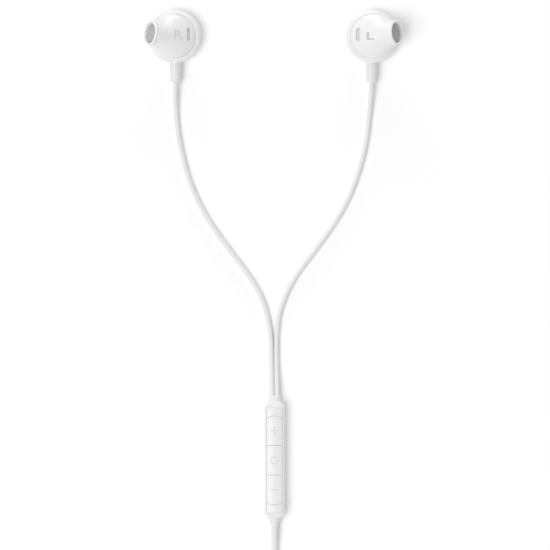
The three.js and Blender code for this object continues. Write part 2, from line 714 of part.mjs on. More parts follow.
/** Plan outline of the remote, drawn in by an inset: straight sides, and rounded shoulders down to the collars. */
function remoteOutline(inset) {
  const side = REMOTE_WIDTH / 2 - inset;
  const collar = COLLAR_WIDTH / 2 - COLLAR_DRAW * inset;
  const [low, high] = [inset, TRAY_LENGTH - inset];
  const shape = new THREE.Shape();
  shape.moveTo(-collar, low);
  shape.lineTo(collar, low);
  shape.quadraticCurveTo(side, low + SHOULDER_BEND * LOWER_SHOULDER, side, LOWER_SHOULDER + inset);
  shape.lineTo(side, SHOULDER_TOP - inset);
  shape.quadraticCurveTo(side, high - SHOULDER_BEND * UPPER_SHOULDER, collar, high);
  shape.lineTo(-collar, high);
  shape.quadraticCurveTo(-side, high - SHOULDER_BEND * UPPER_SHOULDER, -side, SHOULDER_TOP - inset);
  shape.lineTo(-side, LOWER_SHOULDER + inset);
  shape.quadraticCurveTo(-side, low + SHOULDER_BEND * LOWER_SHOULDER, -collar, low);
  return shape;
}

/** The remote's whole outer form, rounded along its edges. */
function remoteBody() {
  const sections = REMOTE_EDGES.map(([share, inset]) =>
    remoteOutline(inset)
      .getPoints(4)
      .slice(0, -1)
      .map((p) => new THREE.Vector3(p.x, p.y, share * REMOTE_EDGE_Z)),
  );
  return new LoftGeometry(sections, { capStart: true, capEnd: true });
}

/** An elliptical bar along Y, from [y, width, height] rows. */
function ovalBar(rows, segments = ROUND_SMALL) {
  const sections = rows.map(([y, width, height]) =>
    Array.from({ length: segments }, (_, i) => {
      const angle = (2 * Math.PI * i) / segments;
      return new THREE.Vector3((width / 2) * Math.cos(angle), y, REMOTE_AXIS_Z - (height / 2) * Math.sin(angle));
    }),
  );
  return new LoftGeometry(sections, { capStart: true, capEnd: true });
}

/** The middle of key i, counted from the lower end, along Y from the middle of the face. */
const keyMiddle = (i) => (i - (KEY_COUNT - 1) / 2) * KEY_PITCH;

/** The microphone stands next to the uppermost switch. */
const micY = () => FACE_MIDDLE + keyMiddle(KEY_COUNT - 1) + SWITCH_SIZE / 2 + MIC_GAP + MIC_RADIUS;

/** Tray: back, side walls and shoulders, open at the face. */
function remoteTray() {
  const opening = prism(
    roundedRectangle(FACE_WIDTH + 2 * FACE_GAP, FACE_LENGTH + 2 * FACE_GAP, FACE_CORNER),
    DECK_Z,
    REMOTE_CROWN_Z + PAST,
    3,
  ).translate(0, FACE_MIDDLE, 0);
  const cavity = box(CAVITY_WIDTH, CAVITY_LENGTH, DECK_Z + PAST - BOARD_Z, 0, FACE_MIDDLE, BOARD_Z);
  const trough = box(
    CAVITY_WIDTH - 2 * BOARD_LEDGE,
    CAVITY_LENGTH,
    BOARD_Z + PAST - TRAY_FLOOR,
    0,
    FACE_MIDDLE,
    TRAY_FLOOR,
  );
  const upperHole = ovalBar([
    [FACE_MIDDLE, SPLIT_NECK.width + 2 * SLIP, SPLIT_NECK.height + 2 * SLIP],
    [TRAY_LENGTH + PAST, SPLIT_NECK.width + 2 * SLIP, SPLIT_NECK.height + 2 * SLIP],
  ]);
  const lowerBore = 2 * (LOWER_NECK_RADIUS + SLIP);
  const lowerHole = ovalBar([
    [-PAST, lowerBore, lowerBore],
    [FACE_MIDDLE, lowerBore, lowerBore],
  ]);
  const micPort = turned(discProfile(MIC_PORT_RADIUS, -PAST, TRAY_FLOOR + PAST), ROUND_SMALL).translate(0, micY(), 0);
  return cut(remoteBody(), opening, cavity, trough, upperHole, lowerHole, micPort);
}

/** A bar as wide as the face strip, crowned on top, from a height up. */
function crownedBar(low, length) {
  const half = FACE_WIDTH / 2;
  const rise = REMOTE_CROWN_Z - FACE_EDGE_Z;
  const radius = (half * half + rise * rise) / (2 * rise);
  const angle = Math.asin(half / radius);
  const section = new THREE.Shape();
  section.moveTo(-half, low);
  section.lineTo(half, low);
  section.lineTo(half, FACE_EDGE_Z);
  section.absarc(0, REMOTE_CROWN_Z - radius, radius, Math.PI / 2 - angle, Math.PI / 2 + angle);
  const bar = new THREE.ExtrudeGeometry(section, { depth: length, bevelEnabled: false, curveSegments: 5 });
  return bar.rotateX(Math.PI / 2).translate(0, length / 2, 0);
}

/**
 * Plan outline across the face strip between two ends, each straight or an arch of the same rise.
 * An arch swells towards +Y at the high end and towards -Y at the low end.
 */
function stripOutline(low, high, lowArch, highArch) {
  const half = FACE_WIDTH / 2;
  const shape = new THREE.Shape();
  shape.moveTo(-half, low);
  if (lowArch) shape.quadraticCurveTo(0, low - 2 * lowArch, half, low);
  else shape.lineTo(half, low);
  shape.lineTo(half, high);
  if (highArch) shape.quadraticCurveTo(0, high + 2 * highArch, -half, high);
  else shape.lineTo(-half, high);
  shape.lineTo(-half, low);
  return shape;
}

/** A prism higher than the remote, to trim the crowned bar with. */
const tallPrism = (outline) => prism(outline, 0, REMOTE_CROWN_Z + PAST);

/** Deck under the keys, with a crowned pad at each end. */
function remoteFrontCover() {
  const deck = roundedRectangle(FACE_WIDTH, FACE_LENGTH, FACE_CORNER - SLIP);
  for (let i = 0; i < KEY_COUNT; i++) deck.holes.push(circlePath(0, keyMiddle(i), PLUNGER_RADIUS + 2 * SLIP));
  const plate = prism(deck, DECK_Z, DECK_TOP_Z, 5);
  const bar = crownedBar(DECK_TOP_Z - BITE, FACE_LENGTH);
  const shoulder = KEYS_LENGTH / 2 - ARCH_RISE + KEY_GAP;
  const end = FACE_LENGTH / 2;
  const upperPad = common(tallPrism(stripOutline(shoulder, end, -ARCH_RISE, 0)), bar);
  const lowerPad = common(tallPrism(stripOutline(-end, -shoulder, 0, -ARCH_RISE)), bar);
  return joined(plate, upperPad, lowerPad).translate(0, FACE_MIDDLE, 0);
}

/** Plunger of a key: it passes through the deck to a foot that is wider than its hole. */
function plunger(i) {
  const foot = SWITCH_TOP_Z + KEY_TRAVEL + SEAM;
  const profile = [
    [0, foot],
    [PLUNGER_FOOT_RADIUS, foot],
    [PLUNGER_FOOT_RADIUS, DECK_Z - SEAM],
    [PLUNGER_RADIUS, DECK_Z - SEAM],
    [PLUNGER_RADIUS, KEY_UNDER_Z + BITE],
    [0, KEY_UNDER_Z + BITE],
  ];
  return turned(profile, ROUND_SMALL).translate(0, keyMiddle(i), 0);
}

/** A crowned cap on a plunger: straight between its neighbours, arched at the ends of the row. */
function key(i) {
  const half = KEY_PITCH / 2;
  const isLowest = i === 0;
  const isHighest = i === KEY_COUNT - 1;
  const low = keyMiddle(i) - half + (isLowest ? ARCH_RISE : KEY_GAP / 2);
  const high = keyMiddle(i) + half - (isHighest ? ARCH_RISE : KEY_GAP / 2);
  const outline = stripOutline(low, high, isLowest ? ARCH_RISE : 0, isHighest ? ARCH_RISE : 0);
  const cap = common(tallPrism(outline), crownedBar(KEY_UNDER_Z, FACE_LENGTH));
  return joined(cap, plunger(i)).translate(0, FACE_MIDDLE, 0);
}

/** Base with a snap dome on top. */
function keySwitch(i) {
  const y = FACE_MIDDLE + keyMiddle(i);
  const base = box(SWITCH_SIZE, SWITCH_SIZE, SWITCH_HEIGHT, 0, y, BOARD_TOP_Z);
  const domeLow = BOARD_TOP_Z + SWITCH_HEIGHT - BITE;
  const dome = turned(
    [
      [0, domeLow],
      [DOME_RADIUS, domeLow],
      [DOME_RADIUS, SWITCH_TOP_Z - DOME_HEIGHT / 2],
      [DOME_RADIUS / 2, SWITCH_TOP_Z],
      [0, SWITCH_TOP_Z],
    ],
    ROUND_SMALL,
  );
  return joined(base, dome.translate(0, y, 0));
}

// ---------------------------------------------------------------- remote: boots

/** Oval boot for the two branch cords. */
function splitBoot() {
  const wall = UPPER_SHOULDER + LEDGE;
  const inside = TRAY_LENGTH - wall - SLIP;
  const flangeWidth = SPLIT_NECK.width + 2 * FLANGE_LIP;
  const flangeHeight = SPLIT_NECK.height + 2 * FLANGE_LIP;
  const face = TRAY_LENGTH + SEAM;
  return ovalBar([
    [inside - REMOTE_FLANGE, flangeWidth, flangeHeight],
    [inside, flangeWidth, flangeHeight],
    [inside, SPLIT_NECK.width, SPLIT_NECK.height],
    [face, SPLIT_NECK.width, SPLIT_NECK.height],
    [face, SPLIT_FACE.width, SPLIT_FACE.height],
    ...SPLIT_BOOT_SHAPE.map(([share, width, height]) => [TRAY_LENGTH + share * SPLIT_BOOT_LENGTH, width, height]),
  ]);
}

/** Round tapered boot for the main cord. */
function lowerBoot() {
  const inside = LOWER_SHOULDER + LEDGE + SLIP;
  const flange = LOWER_NECK_RADIUS + FLANGE_LIP;
  return turnedDown(
    [
      [0, -inside - REMOTE_FLANGE],
      [flange, -inside - REMOTE_FLANGE],
      [flange, -inside],
      [LOWER_NECK_RADIUS, -inside],
      [LOWER_NECK_RADIUS, SEAM],
      [LOWER_FACE_RADIUS, SEAM],
      ...LOWER_BOOT_SHAPE.map(([share, radius]) => [radius, share * LOWER_BOOT_LENGTH]),
      [0, LOWER_BOOT_LENGTH],
    ],
    ROUND_SMALL,
  ).translate(0, 0, REMOTE_AXIS_Z);
}

/** The remote, from the end face of its lower collar at y = 0. */
function remote() {
  const group = new THREE.Group();
  const add = (name, geometry, look) => group.add(piece(name, geometry, look));
  add("remote_tray", remoteTray(), SHELL_WHITE);
  add("remote_front_cover", remoteFrontCover(), SHELL_WHITE);
  const board = box(CAVITY_WIDTH - 2 * SLIP, BOARD_LENGTH, BOARD_THICKNESS, 0, FACE_MIDDLE, BOARD_Z);
  add("circuit_board", board, BOARD_GREEN);
  ["volume_down", "play_pause", "volume_up"].forEach((name, i) => {
    add(`key_${name}`, key(i), SHELL_WHITE);
    add(`switch_${name}`, keySwitch(i), STEEL);
  });
  const mic = turned(discProfile(MIC_RADIUS, BOARD_TOP_Z, BOARD_TOP_Z + MIC_HEIGHT), ROUND_SMALL);
  add("microphone", mic.translate(0, micY(), 0), STEEL);
  add("split_boot", splitBoot(), SOFT_WHITE);
  add("lower_boot", lowerBoot(), SOFT_WHITE);
  return group;
}

// ---------------------------------------------------------------- plug

/** The four-pole plug along +Y, from the cord's end of its boot at y = 0. */
function plug() {
  const group = new THREE.Group();
  const along = (pairs, segments = ROUND_SMALL) => turned(pairs, segments).rotateX(-Math.PI / 2);
  const add = (name, geometry, look) => group.add(piece(name, geometry, look));
  const back = PLUG_BOOT_LENGTH;
  const face = back + PLUG_HOUSING_LENGTH;
  const bore = PIN_ROD_RADIUS + SLIP;
  const shank = PIN_SHANK_RADIUS + SLIP;
  add(
    "plug_boot",
    along([
      [0, 0],
      [PLUG_BOOT_END_RADIUS, 0],
      [PLUG_BOOT_RADIUS, back - PLUG_BOOT_BAND],
      [PLUG_BOOT_RADIUS, back - SEAM],
      [PLUG_NECK_RADIUS, back - SEAM],
      [PLUG_NECK_RADIUS, back + PLUG_NECK_LENGTH],
      [0, back + PLUG_NECK_LENGTH],
    ]),
    SOFT_WHITE,
  );
  add(
    "plug_housing",
    along(
      [
        [0, face - PIN_SHANK_LENGTH - SEAM],
        [0, back + PLUG_NECK_LENGTH + SLIP],
        [PLUG_NECK_RADIUS + SLIP, back + PLUG_NECK_LENGTH + SLIP],
        [PLUG_NECK_RADIUS + SLIP, back],
        [PLUG_RADIUS - PLUG_EDGE, back],
        [PLUG_RADIUS, back + PLUG_EDGE],
        [PLUG_RADIUS, face - PLUG_EDGE],
        [PLUG_RADIUS - PLUG_EDGE, face],
        [shank, face],
        [shank, face - PIN_SHANK_LENGTH - SEAM],
        [0, face - PIN_SHANK_LENGTH - SEAM],
      ],
      ROUND_MID,
    ),
    SHELL_WHITE,
  );
  const sleeveEnd = face + PIN_LENGTH - PIN_TIP_LENGTH - 2 * PIN_RING_LENGTH - 3 * PIN_INSULATOR;
  add(
    "plug_sleeve",
    along([
      [bore, face - PIN_SHANK_LENGTH],
      [PIN_SHANK_RADIUS, face - PIN_SHANK_LENGTH],
      [PIN_SHANK_RADIUS, face + SEAM],
      [PIN_RADIUS, face + SEAM],
      [PIN_RADIUS, sleeveEnd],
      [bore, sleeveEnd],
      [bore, face - PIN_SHANK_LENGTH],
    ]),
    GOLD,
  );
  let from = sleeveEnd;
  const stack = [
    ["plug_insulator_1", PIN_INSULATOR, DARK_PLASTIC],
    ["plug_ring_2", PIN_RING_LENGTH, GOLD],
    ["plug_insulator_2", PIN_INSULATOR, DARK_PLASTIC],
    ["plug_ring_1", PIN_RING_LENGTH, GOLD],
    ["plug_insulator_3", PIN_INSULATOR, DARK_PLASTIC],
  ];
  for (const [name, length, look] of stack) {
    add(name, along(ringProfile(bore, PIN_RADIUS, from, from + length)), look);
    from += length;
  }
  const end = face + PIN_LENGTH;
  add(
    "plug_tip",
    along([
      [0, face - PIN_SHANK_LENGTH],
      [PIN_ROD_RADIUS, face - PIN_SHANK_LENGTH],
      [PIN_ROD_RADIUS, from],
      [PIN_RADIUS, from],
      ...PIN_TIP_SHAPE.map(([share, radius]) => [radius, from + share * PIN_TIP_LENGTH]),
      [0, end],
    ]),
    GOLD,
  );
  return group;
}

// ---------------------------------------------------------------- cords

// Routes of the cords' middles, chosen by hand, from the exit onwards.
const RIGHT_ROUTE = [
  [-31.3, 58.9, 2.3],
  [-31.38, 56.6, 2.05],
  [-31.3, 53.0, 1.35],
  [-31.05, 48.5, 0.85],
  [-30.35, 42.1, 0.8],
  [-29.1, 35.7, 0.8],
  [-27.45, 29.3, 0.8],
  [-25.0, 22.9, 0.8],
  [-21.7, 16.5, 0.8],
  [-17.5, 10.1, 0.8],
  [-12.75, 3.7, 0.8],
  [-8.0, -2.7, 0.8],
  [-4.2, -9.1, 0.8],
  [-2.0, -15.5, 0.8],
  [-0.95, -21.9, 0.8],
  [-0.68, -27.5, 0.8],
  [-0.62, -32.0, 0.9],
  [-0.55, -36.0, 1.5],
  [-0.48, -38.4, 1.92],
  [-0.47, -40.1, 2.0],
];
const LEFT_ROUTE = [
  [31.3, 58.9, 2.3],
  [31.28, 56.6, 2.05],
  [31.05, 53.0, 1.35],
  [30.6, 48.5, 0.85],
  [29.9, 42.1, 0.8],
  [28.65, 35.7, 0.8],
  [26.75, 29.3, 0.8],
  [24.3, 22.9, 0.8],
  [20.95, 16.5, 0.8],
  [16.7, 10.1, 0.8],
  [11.95, 3.7, 0.8],
  [7.25, -2.7, 0.8],
  [3.85, -9.1, 0.8],
  [1.75, -15.5, 0.8],
  [1.06, -21.9, 0.8],
  [0.98, -27.5, 0.8],
  [1.03, -32.0, 0.9],
  [1.11, -36.0, 1.5],
  [1.16, -38.4, 1.92],
  [1.17, -40.1, 2.0],
];
const MAIN_ROUTE = [
  [0.35, -82.6, 2.0],
  [0.35, -84.6, 1.85],
  [0.33, -88.0, 1.3],
  [0.3, -92.0, 1.1],
  [0.28, -98.0, 1.1],
  [0.3, -103.5, 1.1],
  [0.33, -108.5, 1.2],
  [0.35, -112.5, 1.35],
  [0.35, -115.3, 1.5],
];
const TAIL_ROUTE = [
  [0.35, -134.7, 3.5],
  [0.35, -136.8, 2.8],
  [0.35, -139.4, 1.9],
  [0.15, -142.2, 1.3],
  [-1.4, -145.6, 1.1],
  [-5.65, -147.4, 1.1],
  [-9.9, -145.6, 1.1],
  [-11.5, -141.6, 1.35],
  [-11.65, -138.5, 2.1],
  [-11.65, -135.5, 2.7],
  [-11.65, -133.3, 2.8],
];

/** A plain tube along a route, with a section of a few sides. */
function cord(route, diameter) {
  const path = new THREE.CatmullRomCurve3(route.map((p) => new THREE.Vector3(...p)));
  const section = new THREE.Shape();
  section.absarc(0, 0, diameter / 2, 0, 2 * Math.PI);
  const steps = Math.ceil(path.getLength() / (CORD_STEP * diameter));
  return new THREE.ExtrudeGeometry(section, { steps, extrudePath: path, curveSegments: CORD_SIDES / 2 });
}

/** One plain ring round all turns of the coil. */
function cordCoil() {
  const [inner, outer] = [COIL_MEAN_RADIUS - COIL_HALF_WIDTH, COIL_MEAN_RADIUS + COIL_HALF_WIDTH];
  const [low, high] = [COIL_BASE_Z, COIL_BASE_Z + COIL_HEIGHT_Z];
  const corner = MAIN_DIAMETER / 3;
  return turned(
    [
      [inner + corner, low],
      [outer - corner, low],
      [outer, low + corner],
      [outer, high - corner],
      [outer - corner, high],
      [inner + corner, high],
      [inner, high - corner],
      [inner, low + corner],
      [inner + corner, low],
    ],
    ROUND_BIG,
  ).translate(COIL_CENTRE_X, COIL_CENTRE_Y, 0);
}

/** Soft band round the bundle of turns. */
function cordTie() {
  const outside = COIL_MEAN_RADIUS + COIL_HALF_WIDTH + SLIP;
  const inside = Math.sqrt((COIL_MEAN_RADIUS - COIL_HALF_WIDTH) ** 2 - (TIE_WIDTH / 2) ** 2) - SLIP;
  const width = outside - inside;
  const height = COIL_HEIGHT_Z + 2 * SEAM;
  const outline = roundedRectangle(width + 2 * TIE_THICKNESS, height + 2 * TIE_THICKNESS, TIE_THICKNESS + SLIP);
  outline.holes.push(new THREE.Path(roundedRectangle(width, height, SLIP).getPoints(2)));
  const band = new THREE.ExtrudeGeometry(outline, { depth: TIE_WIDTH, bevelEnabled: false, curveSegments: 2 });
  return band
    .rotateX(Math.PI / 2)
    .translate((outside + inside) / 2, TIE_WIDTH / 2, height / 2 + TIE_THICKNESS)
    .translate(COIL_CENTRE_X, COIL_CENTRE_Y, 0);
}

function cords() {
  const group = new THREE.Group();
  group.add(piece("cord_right", cord(RIGHT_ROUTE, BRANCH_DIAMETER), SOFT_WHITE));
  group.add(piece("cord_left", cord(LEFT_ROUTE, BRANCH_DIAMETER), SOFT_WHITE));
  group.add(piece("cord_main", cord(MAIN_ROUTE, MAIN_DIAMETER), SOFT_WHITE));
  group.add(piece("cord_coil", cordCoil(), SOFT_WHITE));
  group.add(piece("cord_tail", cord(TAIL_ROUTE, MAIN_DIAMETER), SOFT_WHITE));
  group.add(piece("cord_tie", cordTie(), DARK_PLASTIC));
  return group;
}

// ---------------------------------------------------------------- the whole set

const earphones = new THREE.Group();

const rightBud = bud("right");
rightBud.position.set(-BUD_SPACING / 2, BUD_Y, 0);

const leftBud = bud("left");
leftBud.position.set(BUD_SPACING / 2, BUD_Y, 0);
leftBud.scale.x = -1;

const remoteGroup = remote();
remoteGroup.position.set(REMOTE_ASIDE, TRAY_Y, 0);

const plugGroup = plug();
plugGroup.position.set(PLUG_ASIDE, PLUG_Y, PLUG_RADIUS);

earphones.add(rightBud, leftBud, remoteGroup, plugGroup, cords());

export default earphones;
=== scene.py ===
"""Wired earphones, dressed: two half-in-ear buds, a pair of cords, a three-key remote and a four-pole plug.

The set lies on its back on z = 0 with the buds at the +Y end. Shapes are drawn in millimetres, each in the frame
of its own sub-assembly, and set down in the frame of the whole set in metres.
"""

import sys
import json
import logging
import math
from dataclasses import dataclass, field
from enum import Enum
from functools import lru_cache
from typing import Callable, ClassVar, Iterable, Sequence

import bmesh
import bpy
from mathutils import Matrix, Vector
from mathutils.bvhtree import BVHTree

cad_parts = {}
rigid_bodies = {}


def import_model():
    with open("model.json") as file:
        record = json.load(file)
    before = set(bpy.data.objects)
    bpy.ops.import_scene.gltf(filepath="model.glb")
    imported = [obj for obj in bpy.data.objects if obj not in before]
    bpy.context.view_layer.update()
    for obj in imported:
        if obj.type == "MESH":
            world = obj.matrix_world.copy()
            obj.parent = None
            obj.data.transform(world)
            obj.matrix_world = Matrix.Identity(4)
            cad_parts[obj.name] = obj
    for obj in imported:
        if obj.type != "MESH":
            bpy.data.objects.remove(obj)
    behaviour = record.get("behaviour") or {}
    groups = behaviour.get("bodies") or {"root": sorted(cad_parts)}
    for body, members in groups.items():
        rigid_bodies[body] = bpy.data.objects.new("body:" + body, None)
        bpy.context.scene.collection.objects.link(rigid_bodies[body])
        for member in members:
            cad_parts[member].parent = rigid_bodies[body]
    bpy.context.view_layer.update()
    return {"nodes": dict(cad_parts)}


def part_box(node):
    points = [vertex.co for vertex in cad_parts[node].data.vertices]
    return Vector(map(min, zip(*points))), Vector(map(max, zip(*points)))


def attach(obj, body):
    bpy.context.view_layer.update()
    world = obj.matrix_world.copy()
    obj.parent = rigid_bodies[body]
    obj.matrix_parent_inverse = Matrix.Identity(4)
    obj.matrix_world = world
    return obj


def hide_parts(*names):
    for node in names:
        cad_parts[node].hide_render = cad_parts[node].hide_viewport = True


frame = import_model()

MM = 0.001

LOG = logging.getLogger("earphones")

Piece = bpy.types.Object
Pair = tuple[float, float]
Triple = tuple[float, float, float]
Colour = tuple[float, float, float]
Profile = list[Pair]
Value = float | Vector


class Side(Enum):
    """The ear that a bud is for."""

    RIGHT = "right"
    LEFT = "left"


class Slot(Enum):
    """The record's material slots."""

    SHELL = "shell"
    SOFT = "soft"
    MESH = "mesh"
    DARK = "dark_plastic"
    GOLD = "gold"


class Cut(Enum):
    """How a tool body works on a piece."""

    AWAY = "DIFFERENCE"
    JOIN = "UNION"


# ---------------------------------------------------------------- shader nodes


class Shade:
    """A number that varies over a surface: arithmetic on it adds Math nodes."""

    def __init__(self, bench: "Bench", socket: bpy.types.NodeSocket) -> None:
        """Wraps an output socket of the bench's tree."""
        self.bench = bench
        self.socket = socket

    def _math(self, operation: str, *terms: "Shade | float | bpy.types.NodeSocket") -> "Shade":
        """The result of one Math node on the terms."""
        return self.bench.number("ShaderNodeMath", {"operation": operation}, dict(enumerate(terms)), 0)

    def __add__(self, other: "Shade | float") -> "Shade":
        """The sum."""
        return self._math("ADD", self, other)

    def __radd__(self, other: float) -> "Shade":
        """The sum, with a plain number on the left."""
        return self._math("ADD", other, self)

    def __mul__(self, other: "Shade | float") -> "Shade":
        """The product."""
        return self._math("MULTIPLY", self, other)

    def __rmul__(self, other: float) -> "Shade":
        """The product, with a plain number on the left."""
        return self._math("MULTIPLY", other, self)

    def or_larger(self, other: bpy.types.NodeSocket) -> "Shade":
        """The larger of this and another value."""
        return self._math("MAXIMUM", self, other)


class Bench:
    """A node tree, with one way to add any node."""

    # The Mix node keeps a socket for each type of data: these are its factor's and its colours' places.
    MIX_INPUTS = (0, 6, 7)
    MIX_RESULT = 2

    def __init__(self, tree: bpy.types.NodeTree) -> None:
        """Clears the tree that it works on."""
        self.tree = tree
        self.tree.nodes.clear()

    def node(self, kind: str, settings: dict | None = None, inputs: dict | None = None) -> bpy.types.Node:
        """Adds a node, sets it up and then feeds its sockets.

        Args:
            kind: the node's type.
            settings: its own settings.
            inputs: a value, a socket or a Shade for each named or numbered socket.

        Returns:
            The node.
        """
        made = self.tree.nodes.new(kind)
        for key, value in (settings or {}).items():
            setattr(made, key, value)
        for key, value in (inputs or {}).items():
            self.feed(made.inputs[key], value)
        return made

    def feed(self, socket: bpy.types.NodeSocket, value: object) -> None:
        """Links or sets one input.

        Args:
            socket: the input.
            value: a Shade, an output socket, or a plain value.
        """
        if isinstance(value, Shade):
            value = value.socket
        if isinstance(value, bpy.types.NodeSocket):
            self.tree.links.new(value, socket)
        else:
            socket.default_value = value

    def number(self, kind: str, settings: dict | None, inputs: dict | None, output: int | str) -> Shade:
        """Adds a node and wraps one of its outputs for arithmetic."""
        return Shade(self, self.node(kind, settings, inputs).outputs[output])

    def place(self) -> bpy.types.NodeSocket:
        """Where a point of the surface is in the piece's own frame, in metres."""
        return self.node("ShaderNodeTexCoord").outputs["Object"]

    def noise(self, size: float, detail: float = 2.0, stretch: Triple = (1.0, 1.0, 1.0)) -> Shade:
        """Soft irregular tone.

        Args:
            size: of its features, in metres.
            detail: octaves of finer tone.
            stretch: how the place is scaled first, along each axis.

        Returns:
            A value from 0 to 1, about 0.5 on average.
        """
        mapped = self.node("ShaderNodeMapping", inputs={"Vector": self.place(), "Scale": stretch})
        inputs = {"Vector": mapped.outputs[0], "Scale": 1.0 / size, "Detail": detail}
        return self.number("ShaderNodeTexNoise", {"noise_dimensions": "3D"}, inputs, 0)

    def blend(self, factor: Shade, one: Colour, two: Colour) -> bpy.types.NodeSocket:
        """The colour from one to two at a factor from 0 to 1."""
        inputs = dict(zip(self.MIX_INPUTS, (factor, (*one, 1.0), (*two, 1.0))))
        return self.node("ShaderNodeMix", {"data_type": "RGBA"}, inputs).outputs[self.MIX_RESULT]

    def background_rays(self) -> Shade:
        """1 for rays that show the background: from the camera, off gloss or through glass.

        Returns:
            The value, 0 for all other rays.
        """
        path = self.node("ShaderNodeLightPath")
        seen = Shade(self, path.outputs["Is Camera Ray"])
        return seen.or_larger(path.outputs["Is Glossy Ray"]).or_larger(path.outputs["Is Transmission Ray"])


class SurfaceBench(Bench):
    """The tree of one new material, around its surface shader."""

    def __init__(self, name: str) -> None:
        """Makes the material with a bare tree.

        Args:
            name: the material's name.
        """
        self.material = bpy.data.materials.new(name)
        self.material.use_nodes = True
        super().__init__(self.material.node_tree)
        self.surface = self.node("ShaderNodeBsdfPrincipled")
        self.node("ShaderNodeOutputMaterial", inputs={"Surface": self.surface.outputs["BSDF"]})

    def bump(self, height: Shade, depth: float) -> None:
        """Raises the normal by a height from 0 to 1, where 1 stands for a depth in metres."""
        inputs = {"Strength": 1.0, "Distance": depth, "Height": height}
        self.feed(self.surface.inputs["Normal"], self.node("ShaderNodeBump", inputs=inputs).outputs[0])

    def dress(self, **inputs: object) -> bpy.types.Material:
        """Feeds the surface shader's sockets.

        Args:
            inputs: a value for each socket, with _ for a space in its name.

        Returns:
            The finished material.
        """
        for key, value in inputs.items():
            self.feed(self.surface.inputs[key.replace("_", " ")], value)
        return self.material


def toned(colour: Colour, amount: float) -> Colour:
    """A colour made lighter or darker by a share."""
    return tuple(min(1.0, c * (1.0 + amount)) for c in colour)


@dataclass(frozen=True)
class MouldedShell:
    """Injection-moulded white plastic: soft gloss, faint orange peel and a slightly uneven polish."""

    name: str = "shell_white"
    colour: Colour = (0.86, 0.86, 0.86)
    roughness: float = 0.3
    specular: float = 0.5
    contrast: float = 0.012
    peel_size: float = 0.0011
    peel_depth: float = 0.0000035
    peel_share: float = 0.8
    grain_size: float = 0.0011 / 6
    flow_size: float = 0.006
    flow_gloss: float = 0.07
    grain_gloss: float = 0.03

    def make(self) -> bpy.types.Material:
        """Builds the material.

        Returns:
            The material.
        """
        bench = SurfaceBench(self.name)
        flow = bench.noise(self.flow_size)
        peel = bench.noise(self.peel_size)
        grain = bench.noise(self.grain_size)
        bench.bump(peel * self.peel_share + grain * (1 - self.peel_share), self.peel_depth)
        colour = bench.blend(flow, toned(self.colour, -self.contrast), toned(self.colour, self.contrast))
        smoothest = self.roughness - (self.flow_gloss + self.grain_gloss) / 2
        gloss = smoothest + self.flow_gloss * flow + self.grain_gloss * grain
        return bench.dress(Base_Color=colour, Roughness=gloss, Specular_IOR_Level=self.specular)


@dataclass(frozen=True)
class SoftMoulding:
    """Matt rubbery jacket of cords and boots: fine grain, faint dusting, hardly any gloss."""

    name: str = "soft_white"
    colour: Colour = (0.83, 0.83, 0.83)
    roughness: float = 0.5
    specular: float = 0.4
    tones: Pair = (-0.02, 0.015)
    grain_size: float = 0.00022
    grain_depth: float = 0.000004
    grain_share: float = 0.6
    drawn_size: float = 0.00088
    cloud_size: float = 0.009
    cloud_gloss: float = 0.08

    def make(self) -> bpy.types.Material:
        """Builds the material.

        Returns:
            The material.
        """
        bench = SurfaceBench(self.name)
        cloud = bench.noise(self.cloud_size, 3.0)
        grain = bench.noise(self.grain_size)
        drawn = bench.noise(self.drawn_size)
        bench.bump(grain * self.grain_share + drawn * (1 - self.grain_share), self.grain_depth)
        colour = bench.blend(cloud, *(toned(self.colour, tone) for tone in self.tones))
        gloss = self.roughness + self.cloud_gloss * cloud
        return bench.dress(Base_Color=colour, Roughness=gloss, Specular_IOR_Level=self.specular)


@dataclass(frozen=True)
class Metal:
    """Plated or drawn metal: fine scratches round or along it, and slightly uneven polish."""

    name: str
    colour: Colour
    roughness: float
    scratch_size: float = 0.00096
    scratch_depth: float = 0.0000012
    scratch_gloss: float = 0.05
    stretch: Triple = (1.0, 12.0, 1.0)
    tones: Pair = (-0.06, 0.04)
    haze_size: float = 0.0025
    haze_gloss: float = 0.1
    polish: float = 0.04

    def make(self) -> bpy.types.Material:
        """Builds the material.

        Returns:
            The material.
        """
        bench = SurfaceBench(self.name)
        scratch = bench.noise(self.scratch_size, 3.0, self.stretch)
        haze = bench.noise(self.haze_size)
        bench.bump(scratch, self.scratch_depth)
        colour = bench.blend(haze, *(toned(self.colour, tone) for tone in self.tones))
        gloss = self.roughness - self.polish + self.haze_gloss * haze + self.scratch_gloss * scratch
        return bench.dress(Base_Color=colour, Roughness=gloss, Metallic=1.0)


@dataclass(frozen=True)
class PlainMoulding:
    """Small coloured moulding, board or felt: two tones in fine grain."""

    name: str
    colour: Colour
    roughness: float = 0.6
    grain_size: float = 0.0003
    grain_depth: float = 0.000006
    contrast: float = 0.12
    specular: float = 0.35
    grain_share: float = 0.6
    cloud_scale: float = 9.0
    cloud_gloss: float = 0.1

    def make(self) -> bpy.types.Material:
        """Builds the material.

        Returns:
            The material.
        """
        bench = SurfaceBench(self.name)
        grain = bench.noise(self.grain_size, 3.0)
        cloud = bench.noise(self.grain_size * self.cloud_scale)
        bench.bump(grain, self.grain_depth)
        tone = grain * self.grain_share + cloud * (1 - self.grain_share)
        colour = bench.blend(tone, toned(self.colour, -self.contrast), toned(self.colour, self.contrast))
        gloss = self.roughness + self.cloud_gloss * cloud
        return bench.dress(Base_Color=colour, Roughness=gloss, Specular_IOR_Level=self.specular)


Finish = MouldedShell | SoftMoulding | Metal | PlainMoulding

